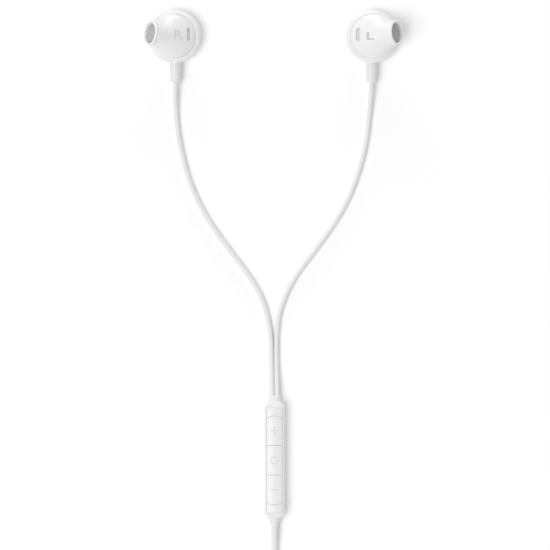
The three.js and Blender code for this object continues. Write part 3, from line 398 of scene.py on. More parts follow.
SHELL = MouldedShell()
KEY_TOP = MouldedShell("key_white", (0.85, 0.85, 0.85), 0.34)
MARK = PlainMoulding("key_mark_grey", (0.75, 0.75, 0.76), 0.5)
# Painted shade: grey laid on the floor of each debossed side letter to darken the recess, a darker copy for the left
# bud and a paler one for the right.
LETTER_SHADE = {
    Side.RIGHT: PlainMoulding("letter_painted_shade_pale", (0.74, 0.74, 0.75), 0.5, contrast=0.04),
    Side.LEFT: PlainMoulding("letter_painted_shade_dark", (0.55, 0.55, 0.56), 0.5, contrast=0.04),
}
SOFT = SoftMoulding()
WIRE = Metal("mesh_wire", (0.52, 0.52, 0.53), 0.42, stretch=(1.0, 1.0, 1.0))
THREAD = PlainMoulding("screen_thread", (0.92, 0.92, 0.92), 0.6, 0.0004, 0.000003, 0.04)
PALE_FELT = PlainMoulding("vent_felt", (0.88, 0.88, 0.88), 0.9, 0.0002, 0.00001, 0.08)
FELT = PlainMoulding("damping_felt", (0.2, 0.2, 0.205), 0.9, 0.0002, 0.00002, 0.3)
STEEL = Metal("pressed_steel", (0.6, 0.61, 0.63), 0.32)
NICKEL = Metal("magnet_nickel", (0.62, 0.62, 0.62), 0.22)
ENAMEL = Metal("enamelled_copper", (0.72, 0.36, 0.18), 0.35)
FILM = PlainMoulding("diaphragm_film", (0.74, 0.69, 0.57), 0.35, 0.0008, 0.000004, 0.05)
DARK = PlainMoulding("dark_moulding", (0.035, 0.035, 0.038), 0.5)
BAND = PlainMoulding("tie_band_grey", (0.09, 0.09, 0.095), 0.65, 0.00025, 0.00002, 0.25)
LACQUER = PlainMoulding("board_lacquer", (0.03, 0.2, 0.08), 0.35, 0.0012, 0.000008, 0.2)
GOLD = Metal("gold_plating", (0.83, 0.62, 0.28), 0.2)


@lru_cache(maxsize=None)
def material_of(finish: Finish) -> bpy.types.Material:
    """The material of a finish, made once."""
    return finish.make()


# ---------------------------------------------------------------- shapes


def round_angles(count: int) -> list[float]:
    """As many evenly spaced angles of one full turn."""
    return [2 * math.pi * i / count for i in range(count)]


def quarter_angles(count: int) -> list[float]:
    """The angles that part a quarter turn evenly, with both its ends."""
    return [math.pi / 2 * i / count for i in range(count + 1)]


def hermite(t: float, start: Value, leave: Value, end: Value, arrive: Value) -> Value:
    """A number or point of a cubic run.

    Args:
        t: share of the way, 0 to 1.
        start: its value at 0.
        leave: its slope at 0.
        end: its value at 1.
        arrive: its slope at 1.

    Returns:
        The value at t.
    """
    square, cube = t * t, t * t * t
    ends = (2 * cube - 3 * square + 1) * start + (3 * square - 2 * cube) * end
    return ends + (cube - 2 * square + t) * leave + (cube - square) * arrive


def bend(start: Pair, control: Pair, end: Pair, steps: int) -> Profile:
    """Points of a quadratic curve.

    Args:
        start: where it starts.
        control: the corner that pulls it.
        end: where it ends.
        steps: how many stretches it has.

    Returns:
        steps + 1 points.
    """
    points = []
    for i in range(steps + 1):
        t = i / steps
        a, b, c = (1 - t) ** 2, 2 * t * (1 - t), t * t
        points.append((a * start[0] + b * control[0] + c * end[0], a * start[1] + b * control[1] + c * end[1]))
    return points


def eased(corners: Sequence[Triple], looped: bool = False, steps: int = 5) -> Profile:
    """A line through corners, each rounded over its own distance.

    Args:
        corners: two coordinates of each corner and the distance over which it is rounded, 0 for a sharp one.
        looped: whether the line closes on itself.
        steps: stretches of each rounding.

    Returns:
        The points.
    """
    points: Profile = []
    count = len(corners)
    for i, (x, y, ease) in enumerate(corners):
        inner = looped or 0 < i < count - 1
        if not ease or not inner:
            points.append((x, y))
            continue
        here = Vector((x, y))
        back = Vector(corners[i - 1][:2]) - here
        ahead = Vector(corners[(i + 1) % count][:2]) - here
        start = here + back.normalized() * min(ease, back.length / 2)
        end = here + ahead.normalized() * min(ease, ahead.length / 2)
        points.extend(bend(tuple(start), (x, y), tuple(end), steps))
    return points


def oblong(width: float, length: float, corner: float) -> list[Triple]:
    """Corners of an oblong round the origin, each to be rounded over the same distance."""
    x, y = width / 2, length / 2
    return [(-x, -y, corner), (x, -y, corner), (x, y, corner), (-x, y, corner)]


def stadium(width: float, length: float, steps: int = 14, straight: int = 8) -> Profile:
    """A slot's outline with round ends, long along the second axis.

    Args:
        width: across it.
        length: from end to end.
        steps: stretches of each round end.
        straight: stretches of each straight side.

    Returns:
        The points, counterclockwise.
    """
    radius, reach = width / 2, (length - width) / 2
    points = []
    for sign in (1, -1):
        for i in range(steps + 1):
            angle = math.pi * i / steps
            points.append((sign * radius * math.cos(angle), sign * (radius * math.sin(angle) + reach)))
        points += [(-sign * radius, sign * reach * (1 - 2 * k / straight)) for k in range(1, straight)]
    return points


def smooth_rows(rows: Sequence[Sequence[float]], steps: int) -> list[list[float]]:
    """A smooth run of values through rows of numbers, without overshoot past the rows.

    Args:
        rows: the first number of each rises along the run.
        steps: stretches between two rows.

    Returns:
        The rows and those between them.
    """

    def slope(k: int, c: int) -> float:
        """Slope of a column at a row, flat at turning points.

        Args:
            k: the row.
            c: the column.

        Returns:
            The slope.
        """
        if k in (0, len(rows) - 1):
            return 0.0
        before = (rows[k][c] - rows[k - 1][c]) / (rows[k][0] - rows[k - 1][0])
        after = (rows[k + 1][c] - rows[k][c]) / (rows[k + 1][0] - rows[k][0])
        return 0.0 if before * after <= 0 else 2 * before * after / (before + after)

    run = [list(rows[0])]
    for k, (low, high) in enumerate(zip(rows, rows[1:])):
        gap = high[0] - low[0]
        for i in range(1, steps + 1):
            t = i / steps
            columns = range(1, len(low))
            values = [hermite(t, low[c], gap * slope(k, c), high[c], gap * slope(k + 1, c)) for c in columns]
            run.append([low[0] + t * gap, *values])
    return run


def linked(name: str, data: bpy.types.ID) -> bpy.types.Object:
    """Puts an object with its data into the scene.

    Args:
        name: the object's name.
        data: its mesh, lamp or camera.

    Returns:
        The object.
    """
    made = bpy.data.objects.new(name, data)
    bpy.context.scene.collection.objects.link(made)
    return made


class Shape:
    """A mesh under construction, in millimetres, built from rings of points."""

    WELD = 1e-4
    CREASE = math.radians(34)

    def __init__(self) -> None:
        """Starts empty."""
        self.bm = bmesh.new()

    def ring(self, points: Iterable[Sequence[float]]) -> list[bmesh.types.BMVert]:
        """Adds the points of one ring."""
        return [self.bm.verts.new(p) for p in points]

    def skin(self, one: list[bmesh.types.BMVert], two: list[bmesh.types.BMVert]) -> None:
        """Spans the faces between two rings of as many points."""
        for a, b, c, d in zip(one, one[1:] + one[:1], two[1:] + two[:1], two):
            self.bm.faces.new((a, b, c, d))

    def loft(self, sections: Sequence[Iterable[Sequence[float]]], looped: bool = False) -> "Shape":
        """Spans a skin over rings in order.

        Args:
            sections: the rings' points.
            looped: whether the last ring joins the first. Otherwise each end gets a cap.

        Returns:
            This shape.
        """
        rings = [self.ring(section) for section in sections]
        for one, two in zip(rings, rings[1:]):
            self.skin(one, two)
        if looped:
            self.skin(rings[-1], rings[0])
        else:
            self.bm.faces.new(reversed(rings[0]))
            self.bm.faces.new(rings[-1])
        return self

    def turned(self, profile: Sequence[Pair], segments: int) -> "Shape":
        """Revolves a profile of radius and height round Z.

        Args:
            profile: it starts and ends on the axis, or closes on itself.
            segments: stretches round the axis.

        Returns:
            This shape.
        """
        angles = round_angles(segments)
        rings = [self.ring((r * math.cos(a), r * math.sin(a), z) for a in angles) for r, z in profile]
        for one, two in zip(rings, rings[1:]):
            self.skin(one, two)
        return self

    def rod(self, radius: float, low: float, high: float, segments: int) -> "Shape":
        """A plain cylinder round Z between two heights."""
        return self.turned([(0, low), (radius, low), (radius, high), (0, high)], segments)

    def moved(self, matrix: Matrix) -> "Shape":
        """Moves what is built so far."""
        self.bm.transform(matrix)
        return self

    def piece(self, name: str) -> Piece:
        """Welds the shape, turns its faces outwards and makes an object of it.

        Args:
            name: the object's name.

        Returns:
            The object, still in millimetres.
        """
        bmesh.ops.remove_doubles(self.bm, verts=self.bm.verts, dist=self.WELD)
        bmesh.ops.dissolve_degenerate(self.bm, edges=self.bm.edges, dist=self.WELD / 10)
        bmesh.ops.recalc_face_normals(self.bm, faces=self.bm.faces)
        mesh = bpy.data.meshes.new(name)
        self.bm.to_mesh(mesh)
        self.bm.free()
        soften(mesh)
        return linked(name, mesh)


def soften(mesh: bpy.types.Mesh) -> None:
    """Shades a mesh smooth, but for its sharper edges."""
    mesh.shade_smooth()
    mesh.set_sharp_from_angle(angle=Shape.CREASE)


def work(piece: Piece, shape: Shape, cut: Cut) -> None:
    """Cuts a shape out of a piece, or joins it on.

    Args:
        piece: what is worked on.
        shape: the other closed body, which is used up.
        cut: what is done.
    """
    tool = shape.piece("tool")
    modifier = piece.modifiers.new("work", "BOOLEAN")
    modifier.operation = cut.value
    modifier.solver = "EXACT"
    modifier.object = tool
    graph = bpy.context.evaluated_depsgraph_get()
    worked = bpy.data.meshes.new_from_object(piece.evaluated_get(graph))
    piece.modifiers.clear()
    spare, piece.data = piece.data, worked
    bpy.data.meshes.remove(spare)
    bpy.data.objects.remove(tool)
    soften(piece.data)


def tree_of(piece: Piece) -> BVHTree:
    """A search tree of a piece's faces, to find its surface with.

    Args:
        piece: the piece, which may be cut afterwards.

    Returns:
        The tree.
    """
    bm = bmesh.new()
    bm.from_mesh(piece.data)
    tree = BVHTree.FromBMesh(bm)
    bm.free()
    return tree


@dataclass
class Seat:
    """Where a sub-assembly's own frame, in millimetres, sits in the set's frame, in metres."""

    origin: Vector
    mirrored: bool = False

    def settle(self, piece: Piece) -> None:
        """Sets a piece down in the set.

        Args:
            piece: in millimetres, in the sub-assembly's frame.
        """
        scale = Matrix.Diagonal((-MM if self.mirrored else MM, MM, MM, 1.0))
        piece.data.transform(Matrix.Translation(self.origin) @ scale)
        if self.mirrored:
            piece.data.flip_normals()


class Assembly:
    """A sub-assembly, which hands its pieces over to the set."""

    seat: Seat

    def fit(
        self,
        piece: Piece,
        finish: Finish,
        slot: Slot,
        *nodes: str,
        body: str = "set",
    ) -> Piece:
        """Sets a piece down, dresses it and puts it on its body.

        Args:
            piece: in millimetres, in this sub-assembly's frame.
            finish: its surface.
            slot: the record's slot that it belongs to; not used.
            nodes: the plain solids that it stands for.
            body: the body that it moves with.

        Returns:
            The piece.
        """
        self.seat.settle(piece)
        piece.data.materials.clear()
        piece.data.materials.append(material_of(finish))
        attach(piece, body)
        if nodes:
            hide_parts(*nodes)
        LOG.info("%s: %d faces on %s", piece.name, len(piece.data.polygons), body)
        return piece


def refinish(node: str, finish: Finish) -> None:
    """Gives a solid that stays as it is a better surface.

    Args:
        node: the solid's name.
        finish: the surface.
    """
    carried = frame["nodes"][node]
    carried.data.materials.clear()
    carried.data.materials.append(material_of(finish))
    LOG.info("%s: finished as %s", node, finish.name)


# Carries a turned shape's axis to -Y, along the stem and the lower boot, and to +Y, along the plug.
AXIS_DOWN = Matrix.Rotation(math.radians(90), 4, "X")
AXIS_UP = Matrix.Rotation(math.radians(-90), 4, "X")


# ---------------------------------------------------------------- woven screens


@dataclass(frozen=True)
class Weave:
    """Plain-woven wire cloth that follows a curved surface."""

    pitch: float = 0.25
    wire: float = 0.11
    sides: int = 5
    steps: int = 4

    def patch(self, name: str, reach: Sequence[Callable[[float], float]], rise: Callable) -> Piece:
        """Weaves a patch.

        Args:
            name: the piece's name.
            reach: for wires along the first and the second axis, how far one at a given offset reaches.
            rise: the height of the cloth's middle at two coordinates.

        Returns:
            The patch, flat on its own first two axes.
        """
        shape = Shape()
        for axis in range(2):
            count = 0
            while reach[axis]((count + 1.5) * self.pitch) > self.pitch:
                count += 1
            for k in range(-count, count + 1):
                self._wire(shape, axis, k, reach[axis](abs(k) * self.pitch), rise)
        return shape.piece(name)

    def _wire(self, shape: Shape, axis: int, k: int, reach: float, rise: Callable) -> None:
        """Adds one wire, which passes over and under the wires across it.

        Args:
            shape: the patch.
            axis: 0 for a wire along the first axis, 1 along the second.
            k: its number, counted from the middle.
            reach: half its length.
            rise: the height of the cloth's middle.
        """
        half_steps = max(2, round(reach * self.steps / self.pitch))
        across = k * self.pitch
        sections = []
        for i in range(-half_steps, half_steps + 1):
            along = reach * i / half_steps
            wave = math.cos(math.pi * (along / self.pitch + k + axis)) * self.wire / 2
            middle = rise(*((along, across) if axis == 0 else (across, along))) + wave
            section = []
            for angle in round_angles(self.sides):
                aside = across + self.wire / 2 * math.cos(angle)
                height = middle + self.wire / 2 * math.sin(angle)
                section.append((along, aside, height) if axis == 0 else (aside, along, height))
            sections.append(section)
        shape.loft(sections)


# ---------------------------------------------------------------- buds


@dataclass
class Bud(Assembly):
    """One half-in-ear bud, drawn for the right ear: the nozzle points to -X and the stem to -Y."""

    side: Side
    radius: float = 8.5
    back_corner: float = 2.9
    back_bulge: float = 0.3
    waist_z: float = 3.0
    rim_z: float = 4.5
    rim_shoulder: float = 0.6
    rim_width: float = 1.5
    slip: float = 0.1
    floor: float = 0.9
    driver_radius: float = 6.2
    driver_seat_z: float = 1.9
    seat_width: float = 0.9
    groove_width: float = 0.3
    groove_depth: float = 0.05
    seam: float = 0.03
    spigot_depth: float = 0.6

    wall: float = 0.75
    lining_rise: float = 0.63
    foot_width: float = 0.5
    foot_height: float = 0.5
    # For the sides away from and under the nozzle: the outward lean at the foot, and how far the shell keeps the
    # foot's and the nozzle's direction.
    far_side: Triple = (-0.65, 3.4, 4.6)
    near_side: Triple = (1.9, 1.1, 0.7)
    nozzle: Triple = (-7.95, 0.95, 9.0)
    nozzle_tilt: float = math.radians(59)
    nozzle_swing: float = math.radians(6)
    lip_radius: float = 3.68
    lip_thickness: float = 0.94
    lip_arc: Pair = (-50.0, 180.0)
    neck_radius: float = 3.95
    neck_back: float = 1.2
    neck_groove: float = 0.12
    neck_groove_start: float = 0.8
    neck_ledge: float = 0.25
    neck_edge: float = 0.06
    mesh_depth: float = 1.5
    mesh_seat: float = 0.36
    mesh_dome: float = 0.25
    mesh_rise: float = 0.3
    mesh_weave: Weave = Weave()
    # The felt's outline: share of its radius and height.
    felt_outline: tuple[Pair, ...] = ((0.0, 0.0), (1.0, 0.0), (1.0, 0.08), (0.5, 0.22), (0.0, 0.27))
    felt_rise: float = 0.05

    slot_offset: float = 4.72
    slot_rise: float = 0.6
    slot_width: float = 1.52
    slot_length: float = 4.2
    slot_edge: float = 0.12
    cutter_low: float = -3.0
    cutter_high: float = 1.0
    cutter_skin: float = 0.001
    screen_margin: float = 0.35
    screen_depth: float = 0.32
    screen_sink: float = 0.12
    screen_weave: Weave = Weave(pitch=0.2)
    felt_heights: Pair = (-0.7, -0.58)
    plate_shares: tuple[float, ...] = (0.9, 0.6, 0.3, 0.0)

    # Size, stretch and place in plan of each side's letter.
    letters: ClassVar[dict[Side, tuple[float, float, Pair]]] = {
        Side.RIGHT: (4.4, 1.18, (1.25, 0.2)),
        Side.LEFT: (3.3, 1.7, (0.9, -0.2)),
    }
    letter_depth: float = 0.16
    letter_weight: float = 0.07
    # Thickness of the grey painted-shade layer on the letter's floor.
    letter_shade_thickness: float = 0.03
    letter_clear: float = 0.5

    stem_offset: float = 0.3
    stem_z: float = 2.3
    stem_radius: float = 1.88
    stem_end_radius: float = 1.65
    stem_length: float = 6.1
    hole_span: Pair = (5.6, 9.5)
    boss_stand: float = 0.25
    boss_fillet: float = 0.22
    boss_edge: float = 0.06
    boss_root: float = 0.9
    boot_neck: float = 0.95
    boot_flange: float = 1.2
    boot_flange_inset: float = 1.55
    boot_flange_width: float = 0.45
    boot_gap: float = 0.05
    boot_waist: Pair = (0.02, 0.5)
    boot_mouth: float = 0.95
    boot_well: Pair = (0.86, 0.35)

    probe_above: float = 40.0
    probe_reach: float = 4.0
    segments: int = 112
    sides: int = 56
    hole_sides: int = 40
    bowl_steps: int = 22
    rim_steps: int = 12
    shell_steps: int = 34
    lining_steps: int = 14
    lip_steps: int = 18
    fillet_steps: int = 6
    boot_steps: int = 6
    slot_steps: int = 4
    letter_steps: int = 6

    slot_frame: Matrix = field(default_factory=Matrix, init=False)
    uncut: BVHTree = field(init=False)

    def __post_init__(self) -> None:
        """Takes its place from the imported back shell, and works out the nozzle's own axes."""
        low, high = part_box(f"{self.side.value}_back_shell")
        origin = Vector(((low.x + high.x) / 2, high.y - self.radius * MM, low.z))
        self.seat = Seat(origin, self.side is Side.LEFT)
        self.front_radius = self.radius - self.rim_width
        tilt, swing = self.nozzle_tilt, self.nozzle_swing
        self.axis = Vector((-math.sin(tilt) * math.cos(swing), math.sin(tilt) * math.sin(swing), math.cos(tilt)))
        self.up = Vector((math.cos(tilt) * math.cos(swing), -math.cos(tilt) * math.sin(swing), math.sin(tilt)))
        self.across = Vector((math.sin(swing), math.cos(swing), 0.0))
        self.crest = Vector(self.nozzle)
        self.lip_bore = self.lip_radius - self.lip_thickness / 2

    def name(self, part: str) -> str:
        """A piece's name with the side in front."""
        return f"{self.side.value}_{part}"

    # back shell and boot

    def bowl_curve(self) -> Profile:
        """The back shell's outside, from the flat back to the top of the rim.

        Returns:
            Radius and height of its points.
        """
        flat = (self.radius - self.back_corner, 0.0)
        waist = (self.radius, self.waist_z)
        rim_top = (self.front_radius + self.seam + self.groove_width, self.rim_z)
        bowl = bend(flat, (self.radius - self.back_bulge, 0.0), waist, self.bowl_steps)
        rim = bend(waist, (self.radius, self.rim_z - self.rim_shoulder), rim_top, self.rim_steps)
        return bowl + rim[1:]

    def bowl_radius(self, z: float) -> float:
        """The bowl's size at a height.

        Args:
            z: the height.

        Returns:
            The radius.
        """
        curve = self.bowl_curve()
        for (r0, z0), (r1, z1) in zip(curve, curve[1:]):
            if z0 <= z <= z1 and z1 > z0:
                return r0 + (r1 - r0) * (z - z0) / (z1 - z0)
        return curve[0][0] if z < curve[0][1] else curve[-1][0]

    def back_shell(self) -> Piece:
        """Round bowl with a rolled rim, a seat for the driver and a boss for the stem.

        Returns:
            The piece.
        """
        bore = self.front_radius + self.seam
        spigot_z = self.rim_z - self.spigot_depth
        driver = self.driver_radius + self.slip
        well = self.driver_radius - self.seat_width
        inside = [
            (bore, self.rim_z - self.groove_depth, 0.06),
            (bore, spigot_z, 0.0),
            (driver, spigot_z, 0.0),
            (driver, self.driver_seat_z, 0.0),
            (well, self.driver_seat_z, 0.1),
            (well, self.floor, 0.15),
            (0.0, self.floor, 0.0),
        ]
        profile = [(0.0, 0.0)] + self.bowl_curve() + eased(inside)
        piece = Shape().turned(profile, self.segments).piece(self.name("back_shell_moulding"))
        work(piece, self.boss(), Cut.JOIN)
        hole = Shape().rod(self.boot_neck + self.slip, *self.hole_span, self.hole_sides)
        work(piece, self.on_stem(hole), Cut.AWAY)
        return piece

    def on_stem(self, shape: Shape) -> Shape:
        """Carries a turned shape to the stem's axis."""
        return shape.moved(Matrix.Translation((self.stem_offset, 0, self.stem_z)) @ AXIS_DOWN)

    def boss(self) -> Shape:
        """Short boss for the stem, with a fillet where it leaves the bowl.

        Returns:
            The shape.
        """
        root = [self.boss_ring(1.0, -self.boss_root / self.boss_fillet)]
        turns = quarter_angles(self.fillet_steps)
        fillet = [self.boss_ring(1 - math.sin(a), 1 - math.cos(a)) for a in turns]
        face = self.radius + self.boss_stand
        edge = [self.boss_ring(0.0, 0.0, face - self.boss_edge)]
        edge += [self.boss_ring(-self.boss_edge / self.boss_fillet, 0.0, face)]
        return Shape().loft(root + fillet + edge)

    def boss_ring(self, flare: float, ahead: float, stop: float | None = None) -> list[Vector]:
        """One ring round the stem.

        Args:
            flare: how many fillets wider than the stem it is.
            ahead: how many fillets it stands out from the bowl.
            stop: its distance from the bud's middle, where that is fixed.

        Returns:
            Its points.
        """
        radius = self.stem_radius + flare * self.boss_fillet
        foot = self.stem_radius + self.boss_fillet
        limit = self.radius + self.boss_stand - self.boss_edge
        points = []
        for angle in round_angles(self.sides):
            c, s = math.cos(angle), math.sin(angle)
            bowl = math.sqrt(self.bowl_radius(self.stem_z + foot * s) ** 2 - (self.stem_offset + foot * c) ** 2)
            out = stop or min(bowl + ahead * self.boss_fillet, limit)
            points.append(Vector((self.stem_offset + radius * c, -out, self.stem_z + radius * s)))
        return points

    def cable_boot(self) -> Piece:
        """Soft sleeve round the cord: flange inside, neck through the boss, tapered outside.

        Returns:
            The piece.
        """
        top = self.radius + self.boss_stand + self.boot_gap
        end = self.radius + self.stem_length
        flange = self.radius - self.boot_flange_inset
        drawn_in, below = self.boot_waist
        well_radius, well_depth = self.boot_well
        corners = [
            (0.0, flange - self.boot_flange_width, 0.0),
            (self.boot_flange, flange - self.boot_flange_width, 0.08),
            (self.boot_flange, flange, 0.0),
            (self.boot_neck, flange, 0.0),
            (self.boot_neck, top, 0.0),
            (self.stem_radius, top, 0.1),
            (self.stem_radius - drawn_in, top + below, 0.3),
            (self.stem_end_radius, end, 0.45),
            (self.boot_mouth, end, 0.12),
            (well_radius, end - well_depth, 0.0),
            (0.0, end - well_depth, 0.0),
        ]
        sleeve = Shape().turned(eased(corners, steps=self.boot_steps), self.sides)
        return self.on_stem(sleeve).piece(self.name("cable_boot_sleeve"))

    # front shell

    def nozzle_point(self, u: float, radius: float, along: float) -> Vector:
        """The point at angle u round the nozzle, at a distance along its axis from the lip's crest."""
        return self.crest + self.up * radius * math.cos(u) + self.across * radius * math.sin(u) + self.axis * along

    def generator(self, u: float, base: Pair, neck: Pair, lift: float) -> Callable[[float], Vector]:
        """One generator of the front shell.

        Args:
            u: its angle round the bud, 0 on the side away from the nozzle.
            base: radius and height of its foot.
            neck: radius of its upper end and how far that lies behind the lip's crest.
            lift: how high it rises, as a share of the outside.

        Returns:
            The curve, as a function of the share from foot to neck.
        """
        side = (1 - math.cos(u)) / 2
        ease = side * side * (3 - 2 * side)
        shares = (ease, side, side)
        lean, rise, run = (far + (near - far) * s for far, near, s in zip(self.far_side, self.near_side, shares))
        start = Vector((base[0] * math.cos(u), base[0] * math.sin(u), base[1]))
        end = self.nozzle_point(u, neck[0], -neck[1])
        away = Vector((lean * math.cos(u), lean * math.sin(u), 1.0)).normalized()
        first = start + away * lift * rise
        second = end - self.axis * run

        def curve(t: float) -> Vector:
            """A cubic curve's point."""
            s = 1 - t
            return s**3 * start + 3 * s * s * t * first + 3 * s * t * t * second + t**3 * end

        return curve

    def outer(self, u: float) -> Callable[[float], Vector]:
        """Generator of the outside."""
        return self.generator(u, (self.front_radius, self.rim_z), (self.neck_radius, self.neck_back), 1.0)

    def inner(self, u: float) -> Callable[[float], Vector]:
        """Generator of the inside.

        Args:
            u: its angle round the bud.

        Returns:
            The curve.
        """
        base = (self.front_radius - self.wall, self.rim_z + self.foot_height)
        neck = (self.lip_bore - self.mesh_seat, self.mesh_depth + self.wall)
        return self.generator(u, base, neck, self.lining_rise)

    def lip_profile(self) -> Profile:
        """Neck groove, rounded lip and the mesh's seat.

        Returns:
            Radius and distance along the nozzle of its points.
        """
        half = self.lip_thickness / 2
        low, high = self.lip_arc
        crest = []
        for i in range(self.lip_steps + 1):
            angle = math.radians(low + (high - low) * i / self.lip_steps)
            crest.append((self.lip_radius + half * math.cos(angle), half * math.sin(angle) - half))
        groove = [
            (self.neck_radius - self.neck_groove * self.neck_groove_start, -self.neck_back + self.neck_edge),
            (self.neck_radius - self.neck_groove, -self.neck_back + self.neck_ledge),
        ]
        seat = [(self.lip_bore, -self.mesh_depth), (self.lip_bore - self.mesh_seat, -self.mesh_depth)]
        return groove + crest + seat

    def front_shell(self) -> Piece:
        """Shell from the round rim to the tilted nozzle, with its lip, foot, slot and side letter.

        Returns:
            The piece.
        """
        angles = round_angles(self.segments)
        rises = [k / self.shell_steps for k in range(self.shell_steps + 1)]
        falls = [k / self.lining_steps for k in range(self.lining_steps, -1, -1)]
        outside = [[self.outer(u)(t) for u in angles] for t in rises]
        lip = [[self.nozzle_point(u, r, s) for u in angles] for r, s in self.lip_profile()]
        inside = [[self.inner(u)(t) for u in angles] for t in falls]
        foot = self.driver_radius - self.foot_width
        within = self.front_radius - self.wall + self.slip
        spigot_z = self.rim_z - self.spigot_depth
        feet = [
            (foot, self.rim_z + self.foot_height),
            (foot, self.rim_z),
            (within, self.rim_z),
            (within, spigot_z),
            (self.front_radius, spigot_z),
        ]
        base = [[(r * math.cos(u), r * math.sin(u), z) for u in angles] for r, z in feet]
        piece = Shape().loft(outside + lip + inside + base, looped=True).piece(self.name("front_shell_moulding"))
        self.uncut = tree_of(piece)
        self.slot_frame = self.surface_place(self.slot_offset, self.slot_rise)
        work(piece, self.slot_cutter(), Cut.AWAY)
        work(piece, self.slot_plate(self.screen_margin + self.slip, self.cutter_low, -self.screen_depth), Cut.AWAY)
        work(piece, self.letter(-self.letter_depth, self.letter_clear), Cut.AWAY)
        return piece

    def surface_place(self, x: float, y: float) -> Matrix:
        """The frame on the shell's outer surface above a point of the plan.

        Args:
            x: first coordinate in plan.
            y: second coordinate in plan.

        Returns:
            A matrix whose third axis is the surface's normal and whose second axis is near +Y.
        """
        point, normal, _, _ = self.uncut.ray_cast(Vector((x, y, self.probe_above)), Vector((0, 0, -1)))
        across = Vector((0, 1, 0)).cross(normal).normalized()
        along = normal.cross(across)
        rows = Matrix((across, along, normal)).transposed().to_4x4()
        return Matrix.Translation(point) @ rows

    def laid_on(self, place: Matrix, x: float, y: float, height: float) -> Vector:
        """A point at a height over the uncut shell, found along the place's own normal.

        Args:
            place: the frame that x and y are measured in.
            x: first coordinate.
            y: second coordinate.
            height: over the surface.

        Returns:
            The point.
        """
        normal = place.to_3x3().col[2].normalized()
        start = place @ Vector((x, y, self.probe_reach))
        hit, _, _, _ = self.uncut.ray_cast(start, -normal, 2 * self.probe_reach)
        return (hit if hit else place @ Vector((x, y, 0.0))) + normal * height

    def slot_ring(self, grow: float, height: float) -> list[Vector]:
        """The slot's outline, grown by a width all round, at a height over the shell."""
        outline = stadium(self.slot_width + 2 * grow, self.slot_length + 2 * grow)
        return [self.laid_on(self.slot_frame, x, y, height) for x, y in outline]

    def slot_cutter(self) -> Shape:
        """Body of the slot, with a rounded edge where it breaks the surface.

        Returns:
            The shape.
        """
        edge = self.slot_edge
        turns = quarter_angles(self.slot_steps)[1:]
        stations = [(self.cutter_high, edge), (self.cutter_skin, edge)]
        stations += [(-edge * math.sin(a), edge * (1 - math.sin(a))) for a in turns]
        stations += [(self.cutter_low, 0.0)]
        return Shape().loft([self.slot_ring(grow, height) for height, grow in stations])

    def slot_plate(self, grow: float, low: float, high: float) -> Shape:
        """A plate in the slot's outline, which follows the shell's curve.

        Args:
            grow: how much wider it is all round than the slot.
            low: height of its underside over the shell.
            high: height of its upper side over the shell.

        Returns:
            The shape.
        """
        insets = [grow - share * (self.slot_width / 2 + grow) for share in self.plate_shares]
        rings = [self.slot_ring(inset, low) for inset in insets]
        rings += [self.slot_ring(inset, high) for inset in reversed(insets)]
        return Shape().loft(rings)

    def letter(self, low: float, high: float) -> Shape:
        """A body in the outline of the side's letter, which follows the shell's curve.

        Args:
            low: height of its underside over the shell.
            high: height of its upper side over the shell.

        Returns:
            The shape.
        """
        size, stretch, place = self.letters[self.side]
        text = bpy.data.curves.new("letter", "FONT")
        text.body = self.side.value[0].upper()
        text.size = size
        text.align_x = text.align_y = "CENTER"
        text.resolution_u = self.letter_steps
        text.offset = self.letter_weight
        carrier = bpy.data.objects.new("letter", text)
        shape = Shape()
        shape.bm.from_mesh(carrier.to_mesh())
        bpy.data.objects.remove(carrier)
        bmesh.ops.remove_doubles(shape.bm, verts=shape.bm.verts, dist=Shape.WELD)
        ground = self.surface_place(*place)
        stretch = -stretch if self.side is Side.LEFT else stretch
        flat = list(shape.bm.verts)
        grown = bmesh.ops.extrude_face_region(shape.bm, geom=shape.bm.faces[:])["geom"]
        tops = [v for v in grown if isinstance(v, bmesh.types.BMVert)]
        for verts, height in ((flat, low), (tops, high)):
            for v in verts:
                v.co = self.laid_on(ground, stretch * v.co.x, v.co.y, height)
        return shape

    # screens

    def nozzle_matrix(self, along: float) -> Matrix:
        """The nozzle's own frame, at a distance along its axis."""
        rows = Matrix((self.up, self.across, self.axis)).transposed().to_4x4()
        return Matrix.Translation(self.crest + self.axis * along) @ rows

    def nozzle_mesh(self) -> Piece:
        """Woven disc inside the lip, slightly domed.

        Returns:
            The piece.
        """
        radius = self.lip_bore - self.slip

        def reach(offset: float) -> float:
            """Half a wire's length at an offset."""
            return math.sqrt(max(0.0, radius**2 - offset**2))

        def rise(x: float, y: float) -> float:
            """The dome."""
            return self.mesh_dome * (1 - (x * x + y * y) / radius**2)

        patch = self.mesh_weave.patch(self.name("nozzle_mesh_weave"), (reach, reach), rise)
        patch.data.transform(self.nozzle_matrix(self.mesh_rise - self.mesh_depth))
        return patch

    def nozzle_felt(self) -> Piece:
        """Damping felt behind the woven disc.

        Returns:
            The piece.
        """
        radius = self.lip_bore - self.slip
        felt = Shape().turned([(share * radius, z) for share, z in self.felt_outline], self.sides)
        return felt.moved(self.nozzle_matrix(self.felt_rise - self.mesh_depth)).piece(self.name("nozzle_felt"))

    def vent_screen(self) -> Piece:
        """Woven strip behind the vent slot, once the front shell is made.

        Returns:
            The piece.
        """
        half_width = self.slot_width / 2 + self.screen_margin
        half_length = self.slot_length / 2 + self.screen_margin
        place = self.slot_frame
        back = place.inverted()

        def reach_across(offset: float) -> float:
            """Half a cross wire's length."""
            past = max(0.0, offset - (half_length - half_width))
            return math.sqrt(max(0.0, half_width**2 - past**2))

        def reach_along(offset: float) -> float:
            """Half a long wire's length."""
            round_end = math.sqrt(max(0.0, half_width**2 - offset**2))
            return half_length - half_width + round_end if offset < half_width else 0.0

        def rise(x: float, y: float) -> float:
            """The shell's curve."""
            return (back @ self.laid_on(place, x, y, -self.screen_depth - self.screen_sink)).z

